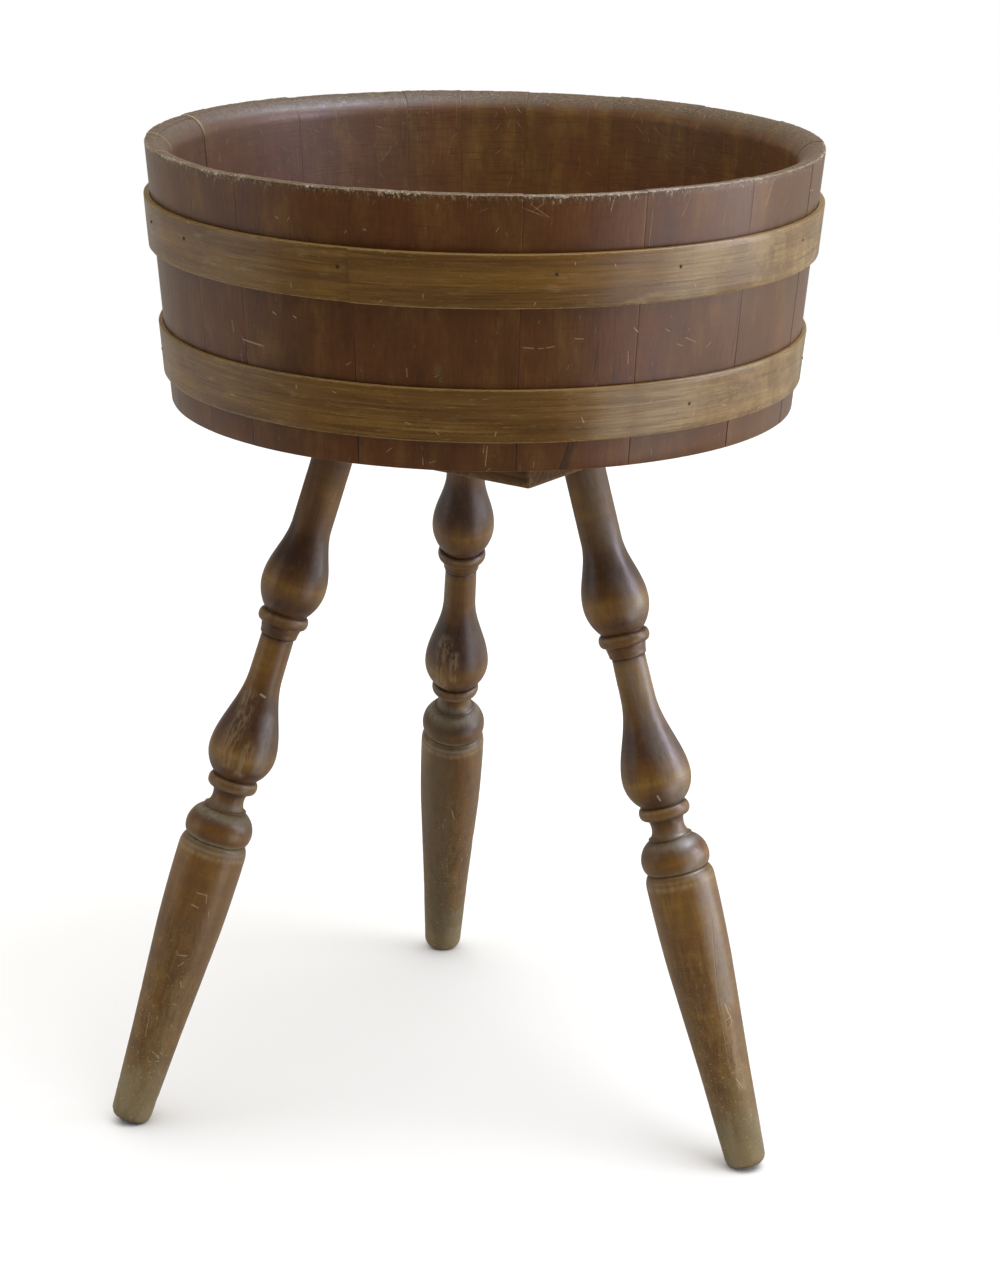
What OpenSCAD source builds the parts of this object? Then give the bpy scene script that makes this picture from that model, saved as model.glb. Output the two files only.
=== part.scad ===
// Plant stand: a coopered tub with two wooden hoops on a square board and three turned, splayed legs.
// Millimetres, +Z up, origin on the floor in the middle of the stand's extents. The viewer is at -Y.

/* [Tub] */
// Outer radius of the staves at the rim
rim_r = 218; // [205:1:235]
// Outer radius of the staves at their feet
chime_r = 203; // [192:1:214]
// Height of the staves
tub_h = 169; // [155:1:240]
// Height of the stave feet above the floor
tub_base_z = 496; // [470:0.5:560]
// Thickness of the staves
stave_t = 17; // [14:0.5:20]
// Gap left in the joint between two staves
stave_gap = 0.2; // [0.05:0.05:0.5]
// Rounding of the rim's inner edge
rim_round = 14; // [2:0.5:14]
// Bevel inside the stave feet
chime_bevel = 4; // [1:0.5:8]
// Most that one stave end stands proud of another
stave_step = 1.4; // [0:0.1:3]
// Turn of the first stave joint, seen from above
first_joint_turn = 200; // [0:1:359]

/* [Tub floor] */
// Thickness of the floor boards
head_t = 16; // [12:0.5:20]
// Height of the floor's underside above the stave feet
head_up = 15.5; // [10:0.5:24]
// Thickness of the floor's edge, where it sits in the staves' groove
tongue_t = 8; // [5:0.5:10]
// Depth of the staves' groove
croze_depth = 5; // [3:0.5:7]
// Clearance of the floor in its groove and along the walls
head_clear = 0.4; // [0.1:0.1:0.8]
// Distance of the front board joint from the tub's axis
front_joint = 96; // [70:1:120]
// Distance of the middle board joint behind the tub's axis
middle_joint = 10; // [-20:1:20]
// Distance of the back board joint from the tub's axis
back_joint = 104; // [75:1:120]
// Gap left in the joint between two boards
board_gap = 0.2; // [0.05:0.05:0.5]
// Radius of the dowels between the boards
dowel_r = 4; // [3:0.5:5]
// Length of the dowels
dowel_l = 40; // [24:1:60]
// Distance of each dowel from the tub's axis, along the boards
dowel_x = 70; // [50:1:90]

/* [Hoops] */
// Width of both hoops
hoop_w = 33; // [24:1:40]
// Thickness of the upper hoop
upper_hoop_t = 4; // [2.5:0.5:6]
// Thickness of the lower hoop
lower_hoop_t = 3; // [2:0.5:6]
// Height of the upper hoop above the stave feet
upper_hoop_up = 101; // [85:0.5:110]
// Height of the lower hoop above the stave feet
lower_hoop_up = 18.5; // [8:0.5:40]
// Clearance between the hoops and the staves
hoop_clear = 0.1; // [0.05:0.05:0.5]
// Worn bevel on the hoops' outer edges
hoop_bevel = 0.8; // [0.2:0.1:1.5]
// How far the outer end of a hoop stands proud at its lap
lap_t = 1.2; // [0.5:0.1:2]
// Length of the lap round the tub, in degrees
lap_arc = 24; // [15:1:30]
// Turn of the upper hoop's lap
upper_lap_turn = 249; // [240:1:255]
// Turn of the lower hoop's lap
lower_lap_turn = 54; // [40:1:70]

/* [Tacks] */
// Height of the tacks above the upper hoop's lower edge
upper_tack_up = 21; // [8:0.5:24]
// Height of the tacks above the lower hoop's lower edge
lower_tack_up = 16.5; // [8:0.5:24]
// Radius of a tack's head
tack_head_r = 1.5; // [1.2:0.1:3]
// Height of a tack's head
tack_head_h = 0.6; // [0.4:0.1:1.5]
// Radius of a tack's shank
tack_r = 0.7; // [0.5:0.1:1.1]
// Length of a tack's shank
tack_l = 12; // [8:0.5:15]
// Clearance round the tacks, screws and dowels
pin_clear = 0.05; // [0.01:0.01:0.2]

/* [Leg board] */
// Thickness of the board that holds the legs
block_t = 34; // [28:1:40]
// Distance from the board's corners to the circle of the staves' inner faces
block_corner_gap = 6; // [5:0.5:20]
// Turn of the board's sides
block_turn = -35; // [-44:0.5:-20]
// Shift of the board from the tub's axis to the left
block_shift_x = -1; // [-3:0.5:3]
// Shift of the board from the tub's axis to the back
block_shift_y = 2; // [-3:0.5:3]
// Bevel round the board's lower edges
block_bevel = 3; // [1:0.5:6]
// Flat cut across the board's corners
block_corner_cut = 3; // [1:0.5:8]
// Distance of the screws from the board's middle
screw_ring_r = 135; // [120:1:148]
// Length of the screws
screw_l = 44; // [40:1:46]
// Radius of the screw shanks
screw_r = 2.2; // [1.5:0.1:3]
// Radius of the screw heads
screw_head_r = 4.6; // [4:0.1:6]
// Width of the slot in a screw's head
screw_slot_w = 1.1; // [0.6:0.1:1.6]
// Depth of the slot in a screw's head
screw_slot_d = 1.2; // [0.5:0.1:1.6]

/* [Legs] */
// Lean of the left leg from upright
left_splay = 17.7; // [12:0.1:20]
// Turn that the left leg leans to, seen from above
left_lean_turn = 199.4; // [188:0.1:212]
// Distance of the left leg's socket from the tub's axis, at the board's underside
left_socket_r = 93; // [78:0.5:95]
// Turn of the left leg's socket round the tub's axis
left_socket_turn = 192.6; // [186:0.1:204]
// Lean of the right leg from upright
right_splay = 16.7; // [12:0.1:20]
// Turn that the right leg leans to
right_lean_turn = 328.4; // [316:0.1:340]
// Distance of the right leg's socket from the tub's axis
right_socket_r = 81; // [75:0.5:95]
// Turn of the right leg's socket
right_socket_turn = 320.5; // [312:0.1:332]
// Lean of the back leg from upright
back_splay = 17.8; // [12:0.1:20]
// Turn that the back leg leans to
back_lean_turn = 96.4; // [84:0.1:108]
// Distance of the back leg's socket from the tub's axis
back_socket_r = 87; // [75:0.5:95]
// Turn of the back leg's socket
back_socket_turn = 95.6; // [84:0.1:104]
// Depth of the sockets along the leg
socket_depth = 26; // [18:1:26]
// Clearance round a leg's end in its socket
socket_clear = 0.1; // [0.05:0.05:0.3]
// Gap left past the end of each leg, tack and dowel in its hole
hole_end_gap = 0.5; // [0.2:0.1:1]

/* [Leg turning] */
// Radius just above the rounded foot
foot_r = 13.8; // [12:0.1:16]
// Rounding of the foot
foot_round = 6.5; // [4:0.5:9]
// Depth cut level off the foot's lowest edge, for the leg to stand on
foot_flat = 0.9; // [0.5:0.1:2]
// Length of the foot's slimmer part, up to where the taper opens a little more
taper_mid_l = 70; // [50:1:90]
// Radius at the top of the foot's slimmer part
taper_mid_r = 17; // [15.5:0.1:18]
// Length of the long taper, from the floor to its shoulder
taper_l = 200; // [170:1:220]
// Radius where the taper starts to round off
taper_low_r = 21.8; // [18:0.1:22.5]
// Length over which the taper rounds off below its shoulder
taper_swell_l = 56; // [30:1:70]
// Radius at the top of the long taper
taper_r = 23.1; // [22.5:0.1:26]
// Radius in the groove above the taper
groove_r = 19.4; // [17:0.1:21]
// Length of the rounded shoulder down into the groove
shoulder_l = 9; // [6:0.5:12]
// Radius of the low ball
low_ball_r = 22.8; // [21.5:0.1:26]
// Length of the low ball from its groove up to its belly
low_ball_rise_l = 8; // [6:0.5:12]
// Length of the low ball from its belly up to the step
low_ball_fall_l = 14; // [11:0.5:18]
// Radius of the step above the low ball
low_step_r = 14.5; // [13.5:0.1:16]
// Length of the step
step_l = 1.5; // [0.5:0.5:2.5]
// Radius in the hollow above the step
hollow_r = 11; // [10:0.1:12.5]
// Length of the hollow
hollow_l = 13; // [10:0.5:18]
// Width of the flat in each groove
groove_flat = 0.5; // [0.2:0.1:1]
// Radius of the two collars
collar_r = 17; // [16.5:0.1:19]
// Length of each collar
collar_l = 8.5; // [5:0.5:10]
// Radius in the groove beside each collar
collar_groove_r = 14.4; // [13.5:0.1:15.5]
// Radius of the vase's belly
vase_r = 23; // [21:0.1:26]
// Length of the vase from its groove up to its belly
vase_rise_l = 19; // [16:0.5:26]
// Length of the vase from its belly up to its neck
vase_fall_l = 55; // [48:0.5:64]
// Radius at the foot of the neck above the vase
neck_r = 11.5; // [10.5:0.1:13]
// Radius at the top of the neck
neck_top_r = 11.2; // [10:0.1:12]
// Length of the neck
neck_l = 26; // [14:0.5:32]
// Radius of the small step above the neck
band_r = 12.5; // [12.1:0.1:13]
// Length over which the neck swells to the small step
band_rise_l = 2.5; // [1:0.5:4]
// Radius under the top collar
flare_r = 13.5; // [13:0.1:14.5]
// Length from the neck to the top collar
flare_l = 9; // [6:0.5:14]
// Radius of the top ball
top_ball_r = 21.9; // [20:0.1:25]
// Length of the top ball from its groove up to its belly
top_ball_rise_l = 20.5; // [16:0.5:26]
// Length of the top ball from its belly up to the leg's end
top_ball_fall_l = 41; // [34:0.5:48]
// Radius of the leg's plain upper end
leg_end_r = 13.5; // [12:0.1:15]

/* [Hidden] */
$fn = 96;

// Place of the tub's axis, which puts the origin in the middle of the whole stand's extents
tub_x = 14;
tub_y = -14;

// Shares of the round taken by the staves, anticlockwise: they are sawn from boards of mixed widths
stave_shares = [15, 12, 22, 27, 20, 22, 21, 22, 23, 22, 18, 18, 13, 11, 24, 29, 21, 20];
// How far each stave's top lies below the tallest one's, in shares of stave_step
stave_lows = [0.35, 0.6, 0.5, 0, 0.75, 0.25, 0.5, 0.4, 0.1, 0.6, 0.25, 0.7, 0.5, 0.3, 0.55, 0.1, 0.55, 1];
stave_count = len(stave_shares);
share_total = sum_to(stave_shares, stave_count);
rim_arc = min(rim_round, 0.85 * stave_t);
gap_arc = stave_gap / rim_r * 180 / PI;

// Turns of the tacks, seen from above: where the photo shows them in front, evenly spread behind
upper_tack_turns = [197, 213, 247, 281.5, 302.5, 335, 15, 65, 112, 155];
lower_tack_turns = [307, 350, 52, 100, 150, 190];

wall_lean = atan((rim_r - chime_r) / tub_h);
head_top = head_up + head_t;
croze_low = head_up + (head_t - tongue_t) / 2;
croze_high = croze_low + tongue_t;
head_edges = [-rim_r, -front_joint, middle_joint, back_joint, rim_r];

block_z = tub_base_z + head_up - block_t;
block_side = (chime_r - stave_t - block_corner_gap) * sqrt(2);
screw_count = 4;

// Each leg's socket distance and turn, the turn it leans to and its lean from upright
left_place = [left_socket_r, left_socket_turn, left_lean_turn, left_splay];
right_place = [right_socket_r, right_socket_turn, right_lean_turn, right_splay];
back_place = [back_socket_r, back_socket_turn, back_lean_turn, back_splay];

arc_steps = 7;
hollow_turn = 150;
vase_skew = 0.93;
tip_bevel = 1.5;
tack_point_l = 3 * tack_r;
tack_seat = 0.02;
dome_edge = 0.4;
screw_point_l = 3 * screw_r;
cut_size = 2 * rim_r;
cut_over = 5;

function sum_to(list, n) = n <= 0 ? 0 : list[n - 1] + sum_to(list, n - 1);
function stave_name(i) = str("stave_", i < 10 ? "0" : "", i);

// Outer and inner radius of the staves at a height above their feet
function outer_r(h) = chime_r + (rim_r - chime_r) * h / tub_h;
function inner_r(h) = outer_r(h) - stave_t;

// Turn where stave i starts, and how far its upper end lies below the tallest one
function stave_turn(i) = first_joint_turn + 360 * sum_to(stave_shares, i - 1) / share_total;
function stave_drop(i) = stave_step * stave_lows[i - 1];

// Distance along a leg from the floor to its socket's mouth, and to its square lower end
function leg_to_block(splay) = block_z / cos(splay);
function foot_end(splay) = (
    (foot_r - foot_round) * sin(splay) + foot_round * (1 - cos(splay)) - foot_flat
) / cos(splay);

// Outline of one quarter of an ellipse that leaves (s0, r0) steeply and reaches (s1, r1) flat
function rise(s0, r0, s1, r1) = [
    for (k = [0 : arc_steps]) let (a = 90 * k / arc_steps)
        [r0 + (r1 - r0) * sin(a), s0 + (s1 - s0) * (1 - cos(a))]
];
// The same the other way up, from a point that is already there: it leaves flat and arrives steeply
function fall(s0, r0, s1, r1) = [
    for (k = [1 : arc_steps]) let (a = 90 * k / arc_steps)
        [r1 + (r0 - r1) * cos(a), s0 + (s1 - s0) * sin(a)]
];
// Arc of a circle that rises from (s0, r0) and is flat at (s1, r1)
function bow(s0, r0, s1, r1) = let (
    bow_r = ((s1 - s0) * (s1 - s0) + (r1 - r0) * (r1 - r0)) / (2 * (r1 - r0)),
    a0 = asin((s1 - s0) / bow_r)
) [
    for (k = [0 : arc_steps]) let (a = a0 * (1 - k / arc_steps))
        [r1 - bow_r * (1 - cos(a)), s1 - bow_r * sin(a)]
];
// The same the other way up, from a point that is already there, where it is flat
function bow_down(s0, r0, s1, r1) = let (up = bow(0, r1, s1 - s0, r0)) [
    for (k = [1 : arc_steps]) [up[arc_steps - k][0], s1 - up[arc_steps - k][1]]
];
// From a point that is already there, rounding off until it is flat at (s1, r1)
function swell(s0, r0, s1, r1) = [
    for (k = [1 : arc_steps]) let (t = k / arc_steps)
        [r1 - (r1 - r0) * (1 - t) * (1 - t), s0 + (s1 - s0) * t]
];
// A double curve, flat at both ends, from a point that is already there
function ogee(s0, r0, s1, r1, skew = 1) = [
    for (k = [1 : 2 * arc_steps]) let (t = k / (2 * arc_steps))
        [r0 + (r1 - r0) * (1 - cos(180 * pow(t, skew))) / 2, s0 + (s1 - s0) * t]
];
// A half round, or less of it, that swells or hollows from r_edge to r_mid and back
function half_round(s0, l, r_edge, r_mid, turn = 180) = [
    for (k = [0 : 2 * arc_steps]) let (a = turn * k / (2 * arc_steps))
        [r_edge + (r_mid - r_edge) * sin(a), s0 + l * (1 - cos(a)) / (1 - cos(turn))]
];

// The leg's outline from the foot up: s is the distance along the leg of each change of form
function leg_outline(splay) = let (
    s_foot = foot_end(splay),
    s_swell = taper_l - taper_swell_l,
    s_low_ball = taper_l + shoulder_l,
    s_low_belly = s_low_ball + low_ball_rise_l,
    s_step = s_low_belly + low_ball_fall_l,
    s_hollow = s_step + step_l,
    s_low_collar = s_hollow + hollow_l,
    s_vase = s_low_collar + collar_l,
    s_belly = s_vase + vase_rise_l,
    s_neck = s_belly + vase_fall_l,
    s_band = s_neck + neck_l,
    s_top_collar = s_band + flare_l,
    s_top_ball = s_top_collar + collar_l,
    s_top_belly = s_top_ball + top_ball_rise_l,
    s_end = s_top_belly + top_ball_fall_l,
    s_tip = leg_to_block(splay) + socket_depth - hole_end_gap
) concat(
    [[0, s_foot]],
    rise(s_foot, foot_r - foot_round, s_foot + foot_round, foot_r),
    [[taper_mid_r, taper_mid_l], [taper_low_r, s_swell]],
    swell(s_swell, taper_low_r, taper_l, taper_r),
    fall(taper_l, taper_r, s_low_ball, groove_r),
    rise(s_low_ball + groove_flat, groove_r, s_low_belly, low_ball_r),
    bow_down(s_low_belly, low_ball_r, s_step, low_step_r),
    half_round(s_hollow, hollow_l, low_step_r, hollow_r, hollow_turn),
    half_round(s_low_collar, collar_l, collar_groove_r, collar_r),
    bow(s_vase + groove_flat, collar_groove_r, s_belly, vase_r),
    ogee(s_belly, vase_r, s_neck, neck_r, vase_skew),
    rise(s_band, neck_top_r, s_band + band_rise_l, band_r),
    ogee(s_band + band_rise_l, band_r, s_top_collar, flare_r),
    half_round(s_top_collar, collar_l, collar_groove_r, collar_r),
    bow(s_top_ball + groove_flat, collar_groove_r, s_top_belly, top_ball_r),
    ogee(s_top_belly, top_ball_r, s_end, leg_end_r),
    [[leg_end_r, s_tip - tip_bevel], [leg_end_r - tip_bevel, s_tip], [0, s_tip]]
);

module on_tub() translate([tub_x, tub_y, tub_base_z]) children();

// Section of a stave, with the rounded rim, the groove for the floor and the bevelled foot
module stave_section(top) {
    rim_x = inner_r(top - rim_arc) + rim_arc;
    polygon(concat(
        [[outer_r(0), 0], [outer_r(top), top]],
        [for (a = [90 : 15 : 180]) [rim_x + rim_arc * cos(a), top - rim_arc * (1 - sin(a))]],
        [
            [inner_r(croze_high), croze_high],
            [inner_r(croze_high) + croze_depth, croze_high],
            [inner_r(croze_low) + croze_depth, croze_low],
            [inner_r(croze_low), croze_low],
            [inner_r(chime_bevel), chime_bevel],
            [inner_r(0) + chime_bevel, 0]
        ]
    ));
}

// Puts a tack's axis square to the tub's wall, its zero on the face of a hoop of thickness t
module at_hoop(turn, up, t)
    rotate([0, 0, turn]) translate([outer_r(up) + hoop_clear + t, 0, up])
        rotate([0, 90 + wall_lean, 0]) children();

module tack_holes(turns, up, t)
    for (turn = turns) at_hoop(turn, up, t) translate([0, 0, -tack_l - hole_end_gap])
        cylinder(r = tack_r + pin_clear, h = tack_l + hole_end_gap + cut_over);

module upper_tack_holes() tack_holes(upper_tack_turns, upper_hoop_up + upper_tack_up, upper_hoop_t);
module lower_tack_holes() tack_holes(lower_tack_turns, lower_hoop_up + lower_tack_up, lower_hoop_t);

module stave(i) {
    arc = 360 * stave_shares[i - 1] / share_total - gap_arc;
    color(i % 2 == 0 ? "#5b3a2a" : "#4c2f22") on_tub() difference() {
        rotate([0, 0, stave_turn(i) + gap_arc / 2]) rotate_extrude(angle = arc)
            stave_section(tub_h - stave_drop(i));
        upper_tack_holes();
        lower_tack_holes();
    }
}

// The whole round floor, before it is cut into boards
module head_disc() {
    tongue_low = croze_low + head_clear / 2;
    tongue_high = croze_high - head_clear / 2;
    rotate_extrude() polygon([
        [0, head_up],
        [inner_r(head_up) - head_clear, head_up],
        [inner_r(tongue_low) - head_clear, tongue_low],
        [inner_r(tongue_low) + croze_depth - head_clear, tongue_low],
        [inner_r(tongue_low) + croze_depth - head_clear, tongue_high],
        [inner_r(tongue_high) - head_clear, tongue_high],
        [inner_r(head_top) - head_clear, head_top],
        [0, head_top]
    ]);
}

// Each inner joint holds two dowels
module at_dowels()
    for (k = [1 : len(head_edges) - 2], side = [-1, 1])
        translate([side * dowel_x, head_edges[k], head_up + head_t / 2]) rotate([90, 0, 0]) children();

module head_board(i) {
    y0 = head_edges[i - 1] + board_gap / 2;
    y1 = head_edges[i] - board_gap / 2;
    color(i % 2 == 0 ? "#6b4a30" : "#5f4029") difference() {
        on_tub() difference() {
            intersection() {
                head_disc();
                translate([-rim_r, y0, 0]) cube([2 * rim_r, y1 - y0, tub_h]);
            }
            at_dowels()
                cylinder(r = dowel_r + pin_clear, h = dowel_l + 2 * hole_end_gap, center = true);
        }
        screw_holes();
    }
}

module head_dowels()
    color("#b08a5a") on_tub() at_dowels() cylinder(r = dowel_r, h = dowel_l, center = true);

module hoop_section(up, t) {
    top = up + hoop_w;
    r0 = outer_r(up) + hoop_clear;
    r1 = outer_r(top) + hoop_clear;
    polygon([
        [r0, up],
        [r0 + t - hoop_bevel, up],
        [r0 + t, up + hoop_bevel],
        [r1 + t, top - hoop_bevel],
        [r1 + t - hoop_bevel, top],
        [r1, top]
    ]);
}

// A bent strip of wood round the staves, whose outer end laps over the inner one
module hoop(up, t, lap_turn) {
    rotate_extrude() hoop_section(up, t);
    rotate([0, 0, lap_turn]) rotate_extrude(angle = lap_arc) hoop_section(up, t + lap_t);
}

module upper_hoop()
    color("#86693a") on_tub() difference() {
        hoop(upper_hoop_up, upper_hoop_t, upper_lap_turn);
        upper_tack_holes();
    }

module lower_hoop()
    color("#86693a") on_tub() difference() {
        hoop(lower_hoop_up, lower_hoop_t, lower_lap_turn);
        lower_tack_holes();
    }

// A pointed shank under a low domed head
module tack()
    rotate_extrude() polygon(concat(
        [[0, -tack_l], [tack_r, tack_point_l - tack_l], [tack_r, tack_seat], [tack_head_r, tack_seat]],
        [
            for (a = [0 : 15 : 90])
                [tack_head_r * cos(a), tack_head_h * (dome_edge + (1 - dome_edge) * sin(a))]
        ]
    ));

module tacks(turns, up, t)
    color("#2b2723") on_tub() for (turn = turns) at_hoop(turn, up, t) tack();

// The board's place: under the floor, turned and a little off the tub's axis
module on_block() translate([tub_x + block_shift_x, tub_y + block_shift_y, block_z])
    rotate([0, 0, block_turn]) children();

module at_screws()
    on_block() for (k = [0 : screw_count - 1])
        rotate([0, 0, 45 + 90 * k]) translate([screw_ring_r, 0, 0]) children();

module screw_shape(clear) {
    head_h = screw_head_r - screw_r;
    rotate_extrude() polygon([
        [0, 0],
        [screw_head_r + clear, 0],
        [screw_r + clear, head_h],
        [screw_r + clear, screw_l - screw_point_l],
        [0, screw_l + clear]
    ]);
}

module screw_holes() at_screws() screw_shape(pin_clear);

module block_screws()
    color("#8d8574") at_screws() difference() {
        screw_shape(0);
        translate([-screw_head_r - cut_over, -screw_slot_w / 2, -cut_over])
            cube([2 * (screw_head_r + cut_over), screw_slot_w, screw_slot_d + cut_over]);
    }

// A leg's own axis: zero at the floor, upwards along the leg
module at_leg(place)
    translate([tub_x, tub_y, 0]) rotate([0, 0, place[1]]) translate([place[0], 0, 0])
        rotate([0, 0, place[2] - place[1]]) translate([block_z * tan(place[3]), 0, 0])
            rotate([0, -place[3], 0]) children();

module sockets()
    for (place = [left_place, right_place, back_place]) at_leg(place)
        translate([0, 0, leg_to_block(place[3]) - socket_depth])
            cylinder(r = leg_end_r + socket_clear, h = 2 * socket_depth);

module leg_block() {
    half = block_side / 2;
    cut = block_corner_cut;
    color("#6e5336") difference() {
        on_block() difference() {
            linear_extrude(block_t) polygon([
                [half - cut, -half], [half, cut - half], [half, half - cut], [half - cut, half],
                [cut - half, half], [-half, half - cut], [-half, cut - half], [cut - half, -half]
            ]);
            for (k = [0 : 3]) rotate([0, 0, 90 * k]) translate([half - block_bevel, 0, 0])
                rotate([0, -45, 0]) translate([0, -cut_size / 2, -cut_size])
                    cube([cut_size, cut_size, cut_size]);
        }
        sockets();
        screw_holes();
    }
}

// The foot's lowest edge is cut level, so that the leaning leg stands on a flat patch
module leg(place)
    color("#8f6e3f") difference() {
        at_leg(place) rotate_extrude() polygon(leg_outline(place[3]));
        translate([-cut_size, -cut_size, -cut_size]) cube([2 * cut_size, 2 * cut_size, cut_size]);
    }

for (i = [1 : stave_count]) stave(i);
for (i = [1 : len(head_edges) - 1]) head_board(i);
head_dowels();
upper_hoop();
lower_hoop();
tacks(upper_tack_turns, upper_hoop_up + upper_tack_up, upper_hoop_t);  // upper_hoop_tacks
tacks(lower_tack_turns, lower_hoop_up + lower_tack_up, lower_hoop_t);  // lower_hoop_tacks
leg_block();
block_screws();
leg(left_place);  // left_leg
leg(right_place);  // right_leg
leg(back_place);  // back_leg
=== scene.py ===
import math
import random

import bmesh
import bpy
from mathutils import Matrix, Vector, noise


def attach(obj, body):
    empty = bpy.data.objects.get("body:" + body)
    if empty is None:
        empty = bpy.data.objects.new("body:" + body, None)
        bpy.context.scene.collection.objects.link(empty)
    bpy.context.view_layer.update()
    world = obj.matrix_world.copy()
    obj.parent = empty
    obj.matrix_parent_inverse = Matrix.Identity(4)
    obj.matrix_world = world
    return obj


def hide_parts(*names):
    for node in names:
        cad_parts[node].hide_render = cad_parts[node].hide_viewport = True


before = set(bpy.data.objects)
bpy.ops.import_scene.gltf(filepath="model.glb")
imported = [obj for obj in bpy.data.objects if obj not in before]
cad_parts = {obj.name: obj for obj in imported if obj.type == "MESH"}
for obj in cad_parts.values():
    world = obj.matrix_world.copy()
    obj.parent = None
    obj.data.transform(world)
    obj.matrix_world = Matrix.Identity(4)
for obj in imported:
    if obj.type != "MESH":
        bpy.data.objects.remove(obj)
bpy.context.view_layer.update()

# Plant stand: a coopered tub with two wooden hoops on a square board and three turned legs.
# Metres, +Z up, the viewer of the photo at -Y. Turns are degrees seen from above.

print("frame loaded with", len(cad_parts), "parts")

tub = {
    "axisX": 0.014,
    "axisY": -0.014,
    "baseZ": 0.496,  # stave feet above the floor
    "height": 0.169,
    "chimeRadius": 0.203,
    "rimRadius": 0.218,
    "wall": 0.017,
}


camera = {
    "place": (0.0193, -2.0245, 0.9715),
    "pitch": 17.74,  # degrees downwards
    "yaw": 0.26,  # towards +X
    "roll": 0.9,
    "lens": 88.57,
}


def outerRadius(height):
    return tub["chimeRadius"] + (tub["rimRadius"] - tub["chimeRadius"]) * height / tub["height"]


def innerRadius(height):
    return outerRadius(height) - tub["wall"]


def aroundTub(radius, turn, height):
    angle = math.radians(turn)
    return Vector((
        tub["axisX"] + radius * math.cos(angle),
        tub["axisY"] + radius * math.sin(angle),
        tub["baseZ"] + height,
    ))


def readTub(point):
    # turn, radius and height above the stave feet of a point
    x = point.x - tub["axisX"]
    y = point.y - tub["axisY"]
    return math.degrees(math.atan2(y, x)) % 360, math.hypot(x, y), point.z - tub["baseZ"]


def smooth(value, low, high):
    share = min(1.0, max(0.0, (value - low) / (high - low)))
    return share * share * (3 - 2 * share)


# Mesh helpers

def startLoop(points):
    # a closed wire through a few corner points
    bm = bmesh.new()
    corners = [bm.verts.new(point) for point in points]
    for first, second in zip(corners, corners[1:] + corners[:1]):
        bm.edges.new((first, second))
    return bm, corners


def roundCorner(bm, corner, radius, segments):
    bmesh.ops.bevel(
        bm, geom=[corner], offset=radius, offset_type="OFFSET", segments=segments,
        profile=0.5, affect="VERTICES", material=-1,
    )


def cutEdges(bm, edges, step):
    # divides each edge into pieces of about one step
    for edge in edges:
        cuts = int(edge.calc_length() / step)
        if cuts > 0:
            bmesh.ops.subdivide_edges(bm, edges=[edge], cuts=cuts)


def softenEdges(bm, edges, radius, segments=2):
    bmesh.ops.bevel(
        bm, geom=list(edges), offset=radius, offset_type="OFFSET", segments=segments,
        profile=0.5, affect="EDGES", material=-1, clamp_overlap=True,
    )


def turnOutwards(bm):
    bm.normal_update()
    bmesh.ops.recalc_face_normals(bm, faces=bm.faces)


def closeShell(bm):
    bmesh.ops.remove_doubles(bm, verts=bm.verts, dist=2e-6)
    gaps = [edge for edge in bm.edges if edge.is_boundary]
    if gaps:
        bmesh.ops.holes_fill(bm, edges=gaps, sides=0)
    turnOutwards(bm)


def finishPiece(name, bm, material, replaced, creaseAngle=38):
    turnOutwards(bm)  # bending can leave a piece inside out
    mesh = bpy.data.meshes.new(name)
    bm.to_mesh(mesh)
    bm.free()
    mesh.polygons.foreach_set("use_smooth", [True] * len(mesh.polygons))
    mesh.set_sharp_from_angle(angle=math.radians(creaseAngle))
    mesh.materials.append(material)
    piece = bpy.data.objects.new(name, mesh)
    bpy.context.scene.collection.objects.link(piece)
    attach(piece, "root")
    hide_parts(*replaced)
    return piece


# Material helpers

def newMaterial(name):
    material = bpy.data.materials.new(name)
    material.use_nodes = True
    tree = material.node_tree
    tree.nodes.clear()
    output = tree.nodes.new("ShaderNodeOutputMaterial")
    shader = tree.nodes.new("ShaderNodeBsdfPrincipled")
    tree.links.new(shader.outputs["BSDF"], output.inputs["Surface"])
    return material, tree, shader


def feed(tree, socket, value):
    if isinstance(value, bpy.types.NodeSocket):
        tree.links.new(value, socket)
    elif isinstance(value, tuple) and len(value) == 3 and socket.type == "RGBA":
        socket.default_value = value + (1.0,)
    else:
        socket.default_value = value


def calc(tree, operation, first, second=0.0, third=0.0):
    made = tree.nodes.new("ShaderNodeMath")
    made.operation = operation
    for socket, value in zip(made.inputs, (first, second, third)):
        feed(tree, socket, value)
    return made.outputs[0]


def vectorCalc(tree, operation, first, second=(0.0, 0.0, 0.0)):
    made = tree.nodes.new("ShaderNodeVectorMath")
    made.operation = operation
    feed(tree, made.inputs[0], first)
    feed(tree, made.inputs[1], second)
    return made.outputs["Value" if operation in ("LENGTH", "DISTANCE", "DOT_PRODUCT") else "Vector"]


def spread(tree, value, low, high, toLow=0.0, toHigh=1.0):
    made = tree.nodes.new("ShaderNodeMapRange")
    made.interpolation_type = "SMOOTHSTEP"
    for socket, item in zip(made.inputs, (value, low, high, toLow, toHigh)):
        feed(tree, socket, item)
    return made.outputs[0]


def tint(tree, factor, first, second, mode="MIX"):
    made = tree.nodes.new("ShaderNodeMix")
    made.data_type = "RGBA"
    made.blend_type = mode
    feed(tree, made.inputs[0], factor)
    feed(tree, made.inputs[6], first)
    feed(tree, made.inputs[7], second)
    return made.outputs[2]


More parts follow.
